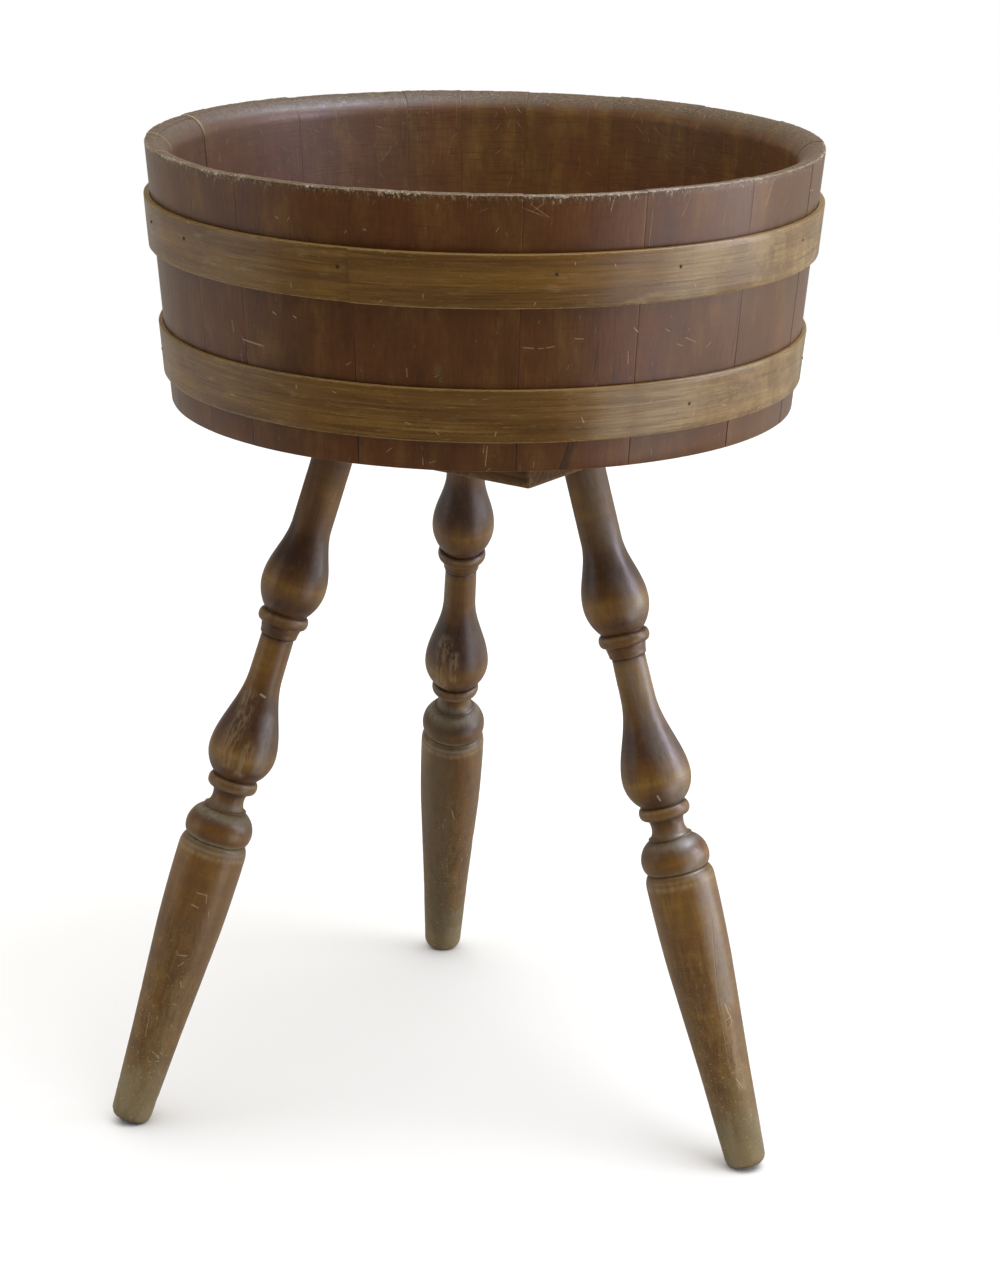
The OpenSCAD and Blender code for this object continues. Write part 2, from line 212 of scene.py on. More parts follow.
def cloud(tree, vector, scale, detail=3.0, rough=0.5, twist=0.0):
    made = tree.nodes.new("ShaderNodeTexNoise")
    feed(tree, made.inputs["Vector"], vector)
    made.inputs["Scale"].default_value = scale
    made.inputs["Detail"].default_value = detail
    made.inputs["Roughness"].default_value = rough
    made.inputs["Distortion"].default_value = twist
    return made.outputs[0]


def stretch(tree, vector, scale, offset=(0.0, 0.0, 0.0)):
    made = tree.nodes.new("ShaderNodeMapping")
    feed(tree, made.inputs["Vector"], vector)
    made.inputs["Location"].default_value = offset
    made.inputs["Scale"].default_value = scale
    return made.outputs[0]


def attribute(tree, name):
    made = tree.nodes.new("ShaderNodeAttribute")
    made.attribute_name = name
    return made


def objectPlace(tree):
    return tree.nodes.new("ShaderNodeTexCoord").outputs["Object"]


def split(tree, vector):
    made = tree.nodes.new("ShaderNodeSeparateXYZ")
    feed(tree, made.inputs[0], vector)
    return made.outputs[0], made.outputs[1], made.outputs[2]


def relief(tree, shader, height, depth, strength=1.0):
    made = tree.nodes.new("ShaderNodeBump")
    made.inputs["Strength"].default_value = strength
    made.inputs["Distance"].default_value = depth
    feed(tree, made.inputs["Height"], height)
    tree.links.new(made.outputs[0], shader.inputs["Normal"])


def nickMask(tree, own, cell, share, halfLength, halfWidth, swing):
    # short dashes at random places of a round piece whose axis is the own z axis
    dots = tree.nodes.new("ShaderNodeTexVoronoi")
    feed(tree, dots.inputs["Vector"], own)
    dots.inputs["Scale"].default_value = 1 / cell
    middle = dots.outputs["Position"]
    red, green, blue = split(tree, dots.outputs["Color"])
    x, y, z = split(tree, own)
    midX, midY, midZ = split(tree, middle)
    reach = vectorCalc(tree, "LENGTH", stretch(tree, middle, (1, 1, 0)))
    cross = calc(tree, "SUBTRACT", calc(tree, "MULTIPLY", x, midY), calc(tree, "MULTIPLY", y, midX))
    across = calc(tree, "DIVIDE", cross, reach)
    along = calc(tree, "SUBTRACT", z, midZ)
    angle = calc(tree, "MULTIPLY_ADD", red, 2 * swing, -swing)
    sine = calc(tree, "SINE", angle)
    cosine = calc(tree, "COSINE", angle)
    lengthwise = calc(tree, "ADD", calc(tree, "MULTIPLY", along, cosine), calc(tree, "MULTIPLY", across, sine))
    sideways = calc(tree, "SUBTRACT", calc(tree, "MULTIPLY", across, cosine), calc(tree, "MULTIPLY", along, sine))
    ownLength = calc(tree, "MULTIPLY_ADD", blue, halfLength, halfLength * 0.25)
    lengthShare = calc(tree, "DIVIDE", calc(tree, "ABSOLUTE", lengthwise), ownLength)
    inLength = spread(tree, lengthShare, 1.0, 0.5)
    inWidth = spread(tree, calc(tree, "ABSOLUTE", sideways), halfWidth, halfWidth * 0.35)
    chosen = calc(tree, "LESS_THAN", green, share)
    return calc(tree, "MULTIPLY", calc(tree, "MULTIPLY", inLength, inWidth), chosen)


def strokeMask(tree, place, strokes):
    # marks from point to point on the surface, each with its half width
    total = 0.0
    for start, end, halfWidth in strokes:
        run = end - start
        length = run.length
        away = vectorCalc(tree, "SUBTRACT", place, tuple(start))
        share = calc(tree, "DIVIDE", vectorCalc(tree, "DOT_PRODUCT", away, tuple(run)), length * length)
        held = calc(tree, "MINIMUM", calc(tree, "MAXIMUM", share, 0.0), 1.0)
        scaled = tree.nodes.new("ShaderNodeVectorMath")
        scaled.operation = "SCALE"
        scaled.inputs[0].default_value = tuple(run)
        tree.links.new(held, scaled.inputs["Scale"])
        gap = vectorCalc(tree, "DISTANCE", away, scaled.outputs["Vector"])
        mask = spread(tree, gap, halfWidth, halfWidth * 0.25)
        total = calc(tree, "MAXIMUM", total, mask)
    return total


def strongest(tree, *masks):
    total = masks[0]
    for mask in masks[1:]:
        total = calc(tree, "MAXIMUM", total, mask)
    return total


def product(tree, *masks):
    total = masks[0]
    for mask in masks[1:]:
        total = calc(tree, "MULTIPLY", total, mask)
    return total


# Staves

stave = {
    "firstJoint": 200,
    "shares": (15, 12, 22, 27, 20, 22, 21, 22, 23, 22, 18, 18, 13, 11, 24, 29, 21, 20),
    "topStep": 0.0014,  # how far the lowest top lies below the tallest
    "lows": (0.35, 0.6, 0.2, 0, 0.45, 0.1, 0.4, 0.4, 0.1, 0.6, 0.25, 0.7, 0.5, 0.3, 0.55, 0.1, 0.55, 1),
    "thin": {17: 0.0007, 18: 0.0014},  # staves a little thinner inside than their neighbours
    "grooveLow": 0.0195,
    "grooveHigh": 0.0275,
    "grooveDepth": 0.005,
    "insideRound": 0.014,
    "outsideRound": 0.0013,
    "footBevel": 0.004,
    "arris": 0.00007,  # softened long edges at the joints
    "fineZone": 0.147,  # above this height the mesh is dense enough for chips
    "fineStep": 0.0012,
    "coarseStep": 0.006,
    "arcStep": 0.0012,
    "topGap": 0.00001,  # joints are tight at the rim and open a little at the foot
    "footGap": 0.00008,
    "wideJoint": 318,
    "wideFootGap": 0.0003,
    "setBack": 0.00008,  # most that one stave lies behind its neighbours
    "waviness": 0.00022,
    "chip": 0.0005,  # depth of the chips along the rim
    "raisedEnds": {16: 1, 17: 1, 1: 0},  # staves whose end edge stands up pale, and on which side
}

staveFinish = {
    "varnish": (0.086, 0.0325, 0.0070),
    "redVarnish": (0.100, 0.0330, 0.0075),
    "darkVarnish": (0.045, 0.0170, 0.0055),
    "goldVarnish": (0.150, 0.066, 0.0105),
    "insideLift": (1.80, 2.20, 3.30),  # painted light: the inside is painted brighter and bluer, standing in for light and sheen on the inner wall; the inside has also kept more of its colour
    "bare": (0.36, 0.270, 0.155),
    "dust": (0.128, 0.094, 0.056),
    "grime": (0.048, 0.034, 0.019),  # lies between the dust on the rim
    "paintedSheen": (0.150, 0.130, 0.170),  # painted reflection: a bluish sheen of the window painted on the varnish inside, at the left
    "sparkle": (0.56, 0.49, 0.41),  # painted highlight: bright glints of the window light on the rim's edge
    "moss": (0.100, 0.085, 0.035),
    "soil": (0.015, 0.009, 0.006),
    "nick": (0.34, 0.235, 0.120),
    "gloss": 0.30,
}

# Marks on the outside: turn and height above the stave feet of both ends, half width, in millimetres
staveMarks = (
    (226.2, 66.9, 230.6, 65.7, 0.75), (223.9, 70.5, 223.6, 77.5, 0.5), (225.5, 52.5, 225.3, 57.5, 0.6),
    (227.0, 54.5, 226.9, 59.5, 0.5), (225.9, 68.5, 226.4, 63.5, 0.45), (260.4, 3, 260.3, 7.5, 0.45),
    (257.9, 57.5, 257.8, 62.5, 0.5), (276.7, 77.1, 278.4, 76.5, 0.5), (279.2, 76.4, 280.0, 76.4, 0.5),
    (280.6, 76.7, 281.7, 77.4, 0.55), (285.2, 81.7, 286.6, 81.3, 0.5), (295.4, 86.1, 296.1, 83.5, 0.6),
    (294.7, 64.5, 294.6, 71.5, 0.5), (301.4, 83.3, 302.2, 81.8, 0.5), (305.6, 76.5, 308.0, 72.5, 0.4),
    (297.0, 135.5, 297.2, 156.5, 0.4), (302.8, 151.5, 304.2, 164.5, 0.45), (321.7, 149.5, 323.3, 165.5, 0.5),
    (339.0, 150, 342.0, 149.1, 0.5), (276.0, 161, 279.6, 155.5, 0.4), (233.6, 88, 234.2, 87, 0.7),
    (237.8, 87.7, 238.3, 86.7, 0.6), (235.5, 146.9, 235.8, 146.1, 0.7), (251.2, 145.1, 251.5, 144.5, 0.6),
    (270.9, 4, 271.2, 16, 0.4), (270.5, 12, 270.7, 17, 0.35), (300.6, 5, 300.4, 10, 0.4), (279.0, 2, 279.1, 6, 0.4),
    (277.6, 162, 280.2, 155, 0.5), (290.0, 158, 290.4, 164, 0.5), (311.5, 143, 311.9, 162, 0.45),
)
darkMarks = (
    (316.9, 57.5, 317.6, 93.5, 0.5), (288.6, 57.5, 289.2, 79.5, 0.5), (283.6, 1, 285.0, 17.5, 0.7),
)
smokyMarks = (
    (284.2, 0, 285.7, 18, 3.6),
)
mossMarks = (
    (262.8, 64, 262.9, 61, 3.6), (263.4, 57.5, 263.4, 56, 1.6),
)


def onOuterWall(marks):
    strokes = []
    for turn, height, endTurn, endHeight, halfWidth in marks:
        ends = []
        for way, level in ((turn, height / 1000), (endTurn, endHeight / 1000)):
            ends.append(aroundTub(outerRadius(level), way, level))
        strokes.append((ends[0], ends[1], halfWidth / 1000))
    return strokes


def makeStaveMaterial():
    material, tree, shader = newMaterial("staveVarnish")
    finish = staveFinish
    grain = attribute(tree, "grain").outputs["Vector"]
    fromFlank, way, lip = split(tree, attribute(tree, "edge").outputs["Vector"])
    place = objectPlace(tree)
    own = stretch(tree, place, (1, 1, 1), (-tub["axisX"], -tub["axisY"], 0))
    inside = spread(tree, way, 0.0004, 0.0020)
    outside = spread(tree, way, 0.0004, -0.0004)
    fromRim = calc(tree, "ABSOLUTE", way)

    streak = cloud(tree, stretch(tree, grain, (1, 1, 0.035)), 560, 5, 0.6)
    fineStreak = cloud(tree, stretch(tree, grain, (1, 1, 0.015)), 2300, 3, 0.6)
    planed = cloud(tree, stretch(tree, grain, (0.03, 0.03, 1)), 1500, 3, 0.6)
    tone = cloud(tree, stretch(tree, grain, (1, 1, 0.5)), 17, 3, 0.5)
    glow = cloud(tree, stretch(tree, grain, (1, 1, 0.4), (3, 1, 2)), 48, 5, 0.62)
    speck = cloud(tree, grain, 1500, 3, 0.7)

    color = tint(tree, spread(tree, tone, 0.36, 0.62), finish["varnish"], finish["redVarnish"])
    color = tint(tree, spread(tree, glow, 0.47, 0.72, 0.0, 0.72), color, finish["goldVarnish"])
    color = tint(tree, spread(tree, glow, 0.47, 0.26, 0.0, 0.50), color, finish["darkVarnish"])
    color = tint(tree, spread(tree, streak, 0.48, 0.74, 0.0, 0.32), color, finish["darkVarnish"])
    color = tint(tree, spread(tree, streak, 0.48, 0.24, 0.0, 0.22), color, finish["goldVarnish"])
    color = tint(tree, spread(tree, fineStreak, 0.47, 0.72, 0.0, 0.28), color, finish["darkVarnish"])
    color = tint(tree, spread(tree, planed, 0.50, 0.74, 0.0, 0.34), color, finish["darkVarnish"])
    scraped = cloud(tree, stretch(tree, grain, (0.05, 0.05, 1), (0, 0, 3)), 900, 4, 0.7)
    color = tint(tree, product(tree, inside, spread(tree, scraped, 0.47, 0.68, 0.0, 0.62)), color, finish["darkVarnish"])
    # painted light: the inner wall is lifted brighter and bluer, standing in for the light and sheen that reach it
    color = tint(tree, inside, color, finish["insideLift"], "MULTIPLY")
    ownX, ownY, ownZ = split(tree, own)
    # painted reflection: the window's bluish sheen painted on the inner wall at the left
    insideLeftSheen = product(tree, inside, spread(tree, ownX, 0.01, -0.13, 0.0, 0.24), spread(tree, ownY, -0.10, 0.02))
    color = tint(tree, insideLeftSheen, color, finish["paintedSheen"])

    # dust and wear lie on the rim; down the inside the wall is painted paler, partly dust and partly painted sheen of
    # the window light
    blotch = cloud(tree, grain, 210, 5, 0.7)
    rimTop = product(tree, inside, spread(tree, way, 0.031, 0.015), spread(tree, blotch, 0.32, 0.62, 0.40, 0.95))
    # partly painted light: paler down the top of the inside wall, standing in for window sheen as well as dust
    dustAndSheenInside = product(tree, inside, spread(tree, way, 0.085, 0.024), spread(tree, blotch, 0.38, 0.66, 0.04, 0.26))
    dusty = strongest(tree, rimTop, dustAndSheenInside)
    color = tint(tree, dusty, color, finish["dust"])
    pitted = cloud(tree, stretch(tree, grain, (0.5, 1, 0.5), (2, 0, 1)), 1150, 4, 0.75)
    onRim = spread(tree, way, 0.026, 0.014)
    onRim = product(tree, onRim, spread(tree, way, -0.0048, -0.0010))
    patchy = spread(tree, blotch, 0.36, 0.62, 0.35, 1.0)
    color = tint(tree, product(tree, onRim, spread(tree, pitted, 0.48, 0.56), patchy, 0.92), color, finish["grime"])
    color = tint(tree, product(tree, onRim, spread(tree, pitted, 0.42, 0.34), 0.52), color, finish["bare"])

    # the outer edge of the rim is rubbed to bare wood, with scratches hanging down from it
    ragged = cloud(tree, stretch(tree, grain, (1, 1, 0.35)), 420, 4, 0.68)
    bareEdge = product(tree, spread(tree, fromRim, 0.0012, 0.0005), spread(tree, speck, 0.44, 0.54, 0.10, 1.0))
    stretches = spread(tree, cloud(tree, stretch(tree, grain, (1, 1, 0.1), (0, 4, 0)), 33, 3, 0.6), 0.46, 0.60)
    raggedRim = calc(tree, "ADD", fromRim, calc(tree, "MULTIPLY_ADD", ragged, 0.0090, -0.0040))
    rubbed = product(tree, spread(tree, raggedRim, 0.0020, 0.0006), stretches, spread(tree, speck, 0.38, 0.60, 0.15, 0.85))
    bareEdge = strongest(tree, bareEdge, rubbed)
    # below that line the varnish is frayed into dark and pale specks
    frayed = cloud(tree, stretch(tree, grain, (1, 1, 0.4), (6, 2, 0)), 760, 4, 0.72)
    frayZone = product(tree, outside, spread(tree, raggedRim, 0.0068, 0.0022), calc(tree, "MULTIPLY_ADD", stretches, 0.55, 0.45))
    color = tint(tree, product(tree, frayZone, spread(tree, frayed, 0.46, 0.54), 0.75), color, finish["grime"])
    color = tint(tree, product(tree, frayZone, spread(tree, frayed, 0.45, 0.38), 0.80), color, finish["bare"])
    hanging = cloud(tree, stretch(tree, grain, (1, 1, 0.07), (1, 5, 1)), 1100, 3, 0.6)
    nearRim = spread(tree, way, -0.0115, -0.0015)
    hang = product(tree, spread(tree, hanging, 0.63, 0.72, 0.0, 0.60), nearRim, outside)
    slash = nickMask(tree, stretch(tree, own, (1, 1, 1), (0, 0, 0.004)), 0.0105, 0.26, 0.0042, 0.00022, 1.25)
    slash = product(tree, slash, spread(tree, way, -0.0150, -0.0030, 0.0, 0.62))
    inner = nickMask(tree, stretch(tree, own, (1, 1, 1), (0, 0, 0.021)), 0.0190, 0.15, 0.0095, 0.00022, 1.1)
    upright = nickMask(tree, stretch(tree, own, (1, 1, 1), (0, 0, 0.047)), 0.0150, 0.22, 0.0110, 0.00024, 0.10)
    inner = product(tree, strongest(tree, inner, upright), inside, spread(tree, way, 0.110, 0.034, 0.04, 0.42))
    inner = product(tree, inner, spread(tree, speck, 0.34, 0.58, 0.3, 1.0))
    raised = product(tree, lip, spread(tree, fromFlank, 0.0017, 0.0004), spread(tree, way, -0.004, 0.001))
    raised = calc(tree, "MULTIPLY", raised, spread(tree, way, 0.034, 0.024))
    worn = strongest(tree, bareEdge, hang, slash, inner, raised)
    color = tint(tree, worn, color, finish["bare"])
    # painted highlight: bright flecks along the rim's edge stand in for glints of the window light
    rimGlintFlecks = product(tree, spread(tree, fromRim, 0.0024, 0.0010), spread(tree, pitted, 0.47, 0.40), stretches)
    color = tint(tree, rimGlintFlecks, color, finish["sparkle"])

    # soil in the joints, pale flecks and scuffs all over
    low = spread(tree, split(tree, place)[2], 0.590, 0.512, 0.05, 0.85)
    soil = product(tree, spread(tree, fromFlank, 0.00045, 0.0001), low, calc(tree, "SUBTRACT", 1.0, lip))
    color = tint(tree, soil, color, finish["soil"])
    nicks = nickMask(tree, own, 0.030, 0.32, 0.0028, 0.00040, 1.3)
    scuffs = nickMask(tree, stretch(tree, own, (1, 1, 1), (0, 0, 0.013)), 0.016, 0.30, 0.0017, 0.00026, 0.5)
    flecks = spread(tree, cloud(tree, stretch(tree, grain, (1, 1, 0.5)), 760, 4, 0.75), 0.67, 0.74, 0.0, 0.28)
    ragging = spread(tree, cloud(tree, own, 1500, 2, 0.6), 0.3, 0.6, 0.25, 1.0)
    marks = product(tree, strokeMask(tree, place, onOuterWall(staveMarks)), ragging, 0.85)
    nicks = strongest(tree, calc(tree, "MULTIPLY", nicks, 0.40), calc(tree, "MULTIPLY", scuffs, 0.30), flecks, marks)
    color = tint(tree, nicks, color, finish["nick"])
    moss = product(tree, strokeMask(tree, place, onOuterWall(mossMarks)), spread(tree, speck, 0.40, 0.62), 0.75)
    color = tint(tree, moss, color, finish["moss"])
    smoky = product(tree, strokeMask(tree, place, onOuterWall(smokyMarks)), spread(tree, streak, 0.30, 0.60, 0.35, 0.85))
    color = tint(tree, smoky, color, finish["darkVarnish"])
    dark = product(tree, strokeMask(tree, place, onOuterWall(darkMarks)), spread(tree, streak, 0.30, 0.55, 0.45, 0.75))
    color = tint(tree, dark, color, finish["soil"])
    tree.links.new(color, shader.inputs["Base Color"])

    rough = calc(tree, "MULTIPLY_ADD", glow, 0.20, finish["gloss"] - 0.08)
    rough = calc(tree, "MULTIPLY_ADD", dusty, 0.28, rough)
    rough = calc(tree, "MULTIPLY_ADD", nicks, 0.25, rough)
    tree.links.new(rough, shader.inputs["Roughness"])
    shader.inputs["Specular IOR Level"].default_value = 0.27
    height = calc(tree, "MULTIPLY_ADD", streak, 0.45, calc(tree, "MULTIPLY", fineStreak, 0.22))
    height = calc(tree, "MULTIPLY_ADD", planed, 0.14, height)
    height = calc(tree, "MULTIPLY_ADD", product(tree, ragged, dusty), 0.6, height)
    height = calc(tree, "MULTIPLY_ADD", product(tree, pitted, onRim), -1.6, height)
    height = calc(tree, "MULTIPLY_ADD", product(tree, scraped, inside), 0.35, height)
    height = calc(tree, "MULTIPLY_ADD", strongest(tree, nicks, worn), -1.1, height)
    relief(tree, shader, height, 0.00022, 0.8)
    return material


def makeStave(number, start, share, material):
    top = tub["height"] - stave["topStep"] * stave["lows"][number - 1]
    luck = random.Random(40 + number)
    fine = stave["fineZone"]
    low = stave["grooveLow"]
    high = stave["grooveHigh"]
    foot = stave["footBevel"]
    section = (
        (outerRadius(0), 0), (outerRadius(fine), fine), (outerRadius(top), top), (innerRadius(top), top),
        (innerRadius(fine), fine), (innerRadius(high), high), (innerRadius(high) + stave["grooveDepth"], high),
        (innerRadius(low) + stave["grooveDepth"], low), (innerRadius(low), low), (innerRadius(foot), foot),
        (innerRadius(0) + foot, 0),
    )
    bm, corners = startLoop([aroundTub(radius, start, height) for radius, height in section])
    roundCorner(bm, corners[3], stave["insideRound"], 12)
    roundCorner(bm, corners[2], stave["outsideRound"], 3)
    roundCorner(bm, corners[0], 0.0008, 2)
    fineHeight = tub["baseZ"] + fine - 0.0001
    upper = [edge for edge in bm.edges if min(vert.co.z for vert in edge.verts) > fineHeight]
    rest = [edge for edge in bm.edges if edge not in upper]
    cutEdges(bm, upper, stave["fineStep"])
    cutEdges(bm, rest, stave["coarseStep"])
    arc = math.radians(share)
    bmesh.ops.spin(
        bm, geom=bm.verts[:] + bm.edges[:], cent=aroundTub(0, 0, 0), axis=(0, 0, 1),
        angle=arc, steps=int(arc * tub["rimRadius"] / stave["arcStep"]), use_duplicate=False,
    )
    ends = bmesh.ops.holes_fill(bm, edges=[edge for edge in bm.edges if edge.is_boundary], sides=0)["faces"]
    turnOutwards(bm)
    softenEdges(bm, {edge for face in ends for edge in face.edges}, stave["arris"])
    closeShell(bm)

    grainLayer = bm.verts.layers.float_vector.new("grain")
    edgeLayer = bm.verts.layers.float_vector.new("edge")
    offset = Vector((luck.uniform(0, 9), luck.uniform(0, 9), luck.uniform(0, 9)))
    setBack = luck.uniform(0, stave["setBack"])
    twist = luck.uniform(-0.0001, 0.0001)
    gaps = [stave["wideFootGap"] if (start + way) % 360 == stave["wideJoint"] else stave["footGap"] for way in (0, share)]
    for vert in bm.verts:
        turn, radius, height = readTub(vert.co)
        local = (turn - start + 90) % 360 - 90
        part = local / share
        across = math.radians(local) * tub["rimRadius"]
        isInside = radius < (innerRadius(height) + outerRadius(height)) / 2
        fromTop = top - height
        opening = 1 - smooth(height, 0.02, 0.15)
        shift = [stave["topGap"] + gap * opening for gap in gaps]
        moved = across + shift[0] * (1 - part) - shift[1] * part
        wave = noise.noise(Vector((across * 14, number * 3.7, height * 10)))
        inset = setBack + twist * (2 * part - 1) + stave["waviness"] * (0.6 + wave)
        spot = Vector((across * 190, number * 5.1, height * 60))
        chip = max(0.0, noise.noise(spot) - 0.05) + 0.6 * max(0.0, noise.noise(spot * 2.3) - 0.1)
        nearTop = 1 - smooth(fromTop, 0.0, 0.0045)
        sink = stave["chip"] * chip * nearTop * (0.45 if isInside else 1.0)
        sag = 0.00025 * (0.5 + 0.5 * noise.noise(Vector((across * 30, number * 2.3, 0)))) * nearTop
        if isInside:
            newRadius = radius + 0.3 * inset + stave["thin"].get(number, 0) * smooth(height, 0.04, 0.12)
        else:
            newRadius = radius - max(0.0, inset) - 0.5 * sink
        vert.co = aroundTub(newRadius, start + math.degrees(moved / tub["rimRadius"]), height - sink - sag)
        vert[grainLayer] = Vector((across, radius, height)) + offset
        fromFlank = min(part, 1 - part) * arc * tub["rimRadius"]
        # way is how far round the outer edge of the rim: minus down the outside, plus over the top and in
        way = fromTop + max(0.0, outerRadius(height) - radius)
        if outerRadius(height) - radius < 0.0004 and fromTop > 0.0006:
            way = -fromTop
        lip = 1.0 if abs(stave["raisedEnds"].get(number, 9) - part) < 0.3 else 0.0
        vert[edgeLayer] = Vector((fromFlank, way, lip))
    return finishPiece(f"stave{number:02d}", bm, material, [f"stave_{number:02d}"])


staveMaterial = makeStaveMaterial()
jointTurn = stave["firstJoint"]
for index, share in enumerate(stave["shares"]):
    makeStave(index + 1, jointTurn % 360, share, staveMaterial)
    jointTurn += share
print("staves made:", len(stave["shares"]))


# Hoops: each a flat strip with a thinned end, bent round the tub and lapped over itself

upperHoop = {
    "name": "upperHoopStrip",
    "node": "upper_hoop",
    "low": 0.101,  # lower edge above the stave feet
    "thickness": 0.004,
    "lapTurn": 249,
    "seed": 3,
}
lowerHoop = {
    "name": "lowerHoopStrip",
    "node": "lower_hoop",
    "low": 0.0185,
    "thickness": 0.003,
    "lapTurn": 54,
    "seed": 8,
}
hoopShape = {
    "width": 0.033,
    "clearance": 0.0001,
    "lapArc": 24,
    "lapEnd": 0.00115,  # thickness of the outer end
    "feather": 0.0004,  # thickness of the inner end
    "edgeRound": 0.0008,
    "step": 0.0022,
    "waviness": 0.0002,
}
tack = {
    "headRadius": 0.0010,
    "headHeight": 0.0005,
    "shankRadius": 0.0007,
    "shankLength": 0.012,
    "upperRise": 0.021,
    "lowerRise": 0.0165,
    "upperTurns": (197, 213, 247, 281.5, 302.5, 335, 15, 65, 112, 155),
    "lowerTurns": (307, 350, 52, 100, 150, 190),
}

hoopFinish = {
    "gold": (0.162, 0.077, 0.0098),
    "brown": (0.110, 0.049, 0.0076),
    "line": (0.055, 0.025, 0.0055),
    "pale": (0.300, 0.200, 0.075),
    "paintedWindowLight": (0.305, 0.203, 0.070),  # painted light: the side towards the window painted paler, standing in for the window light on it
    "sheen": (0.36, 0.275, 0.140),  # painted highlight: upright pale patches standing in for the window's glint on the hoops
    "nick": (0.42, 0.33, 0.19),
    "soil": (0.028, 0.016, 0.009),
    "gloss": 0.25,
}


# Painted glint patches: which hoop, turn, half width in metres
hoopGlintPatches = ((upperHoop, 306.0, 0.030), (lowerHoop, 292.0, 0.022), (lowerHoop, 303.0, 0.040))


def hoopGlintStrokes():
    strokes = []
    for hoop, turn, halfWidth in hoopGlintPatches:
        low = hoop["low"]
        high = low + hoopShape["width"]
        ends = [aroundTub(outerRadius(level) + hoop["thickness"], turn, level) for level in (low, high)]
        strokes.append((ends[0], ends[1], halfWidth))
    return strokes


def tackHalos():
    halos = []
    for hoop, rise, turns in (
        (upperHoop, tack["upperRise"], tack["upperTurns"]), (lowerHoop, tack["lowerRise"], tack["lowerTurns"])
    ):
        for turn in turns:
            height = hoop["low"] + rise
            face = outerRadius(height) + hoopShape["clearance"] + hoop["thickness"]
            spot = aroundTub(face, turn, height)
            halos.append((spot, spot + Vector((0, 0, 0.0007)), 0.0022))
    return halos


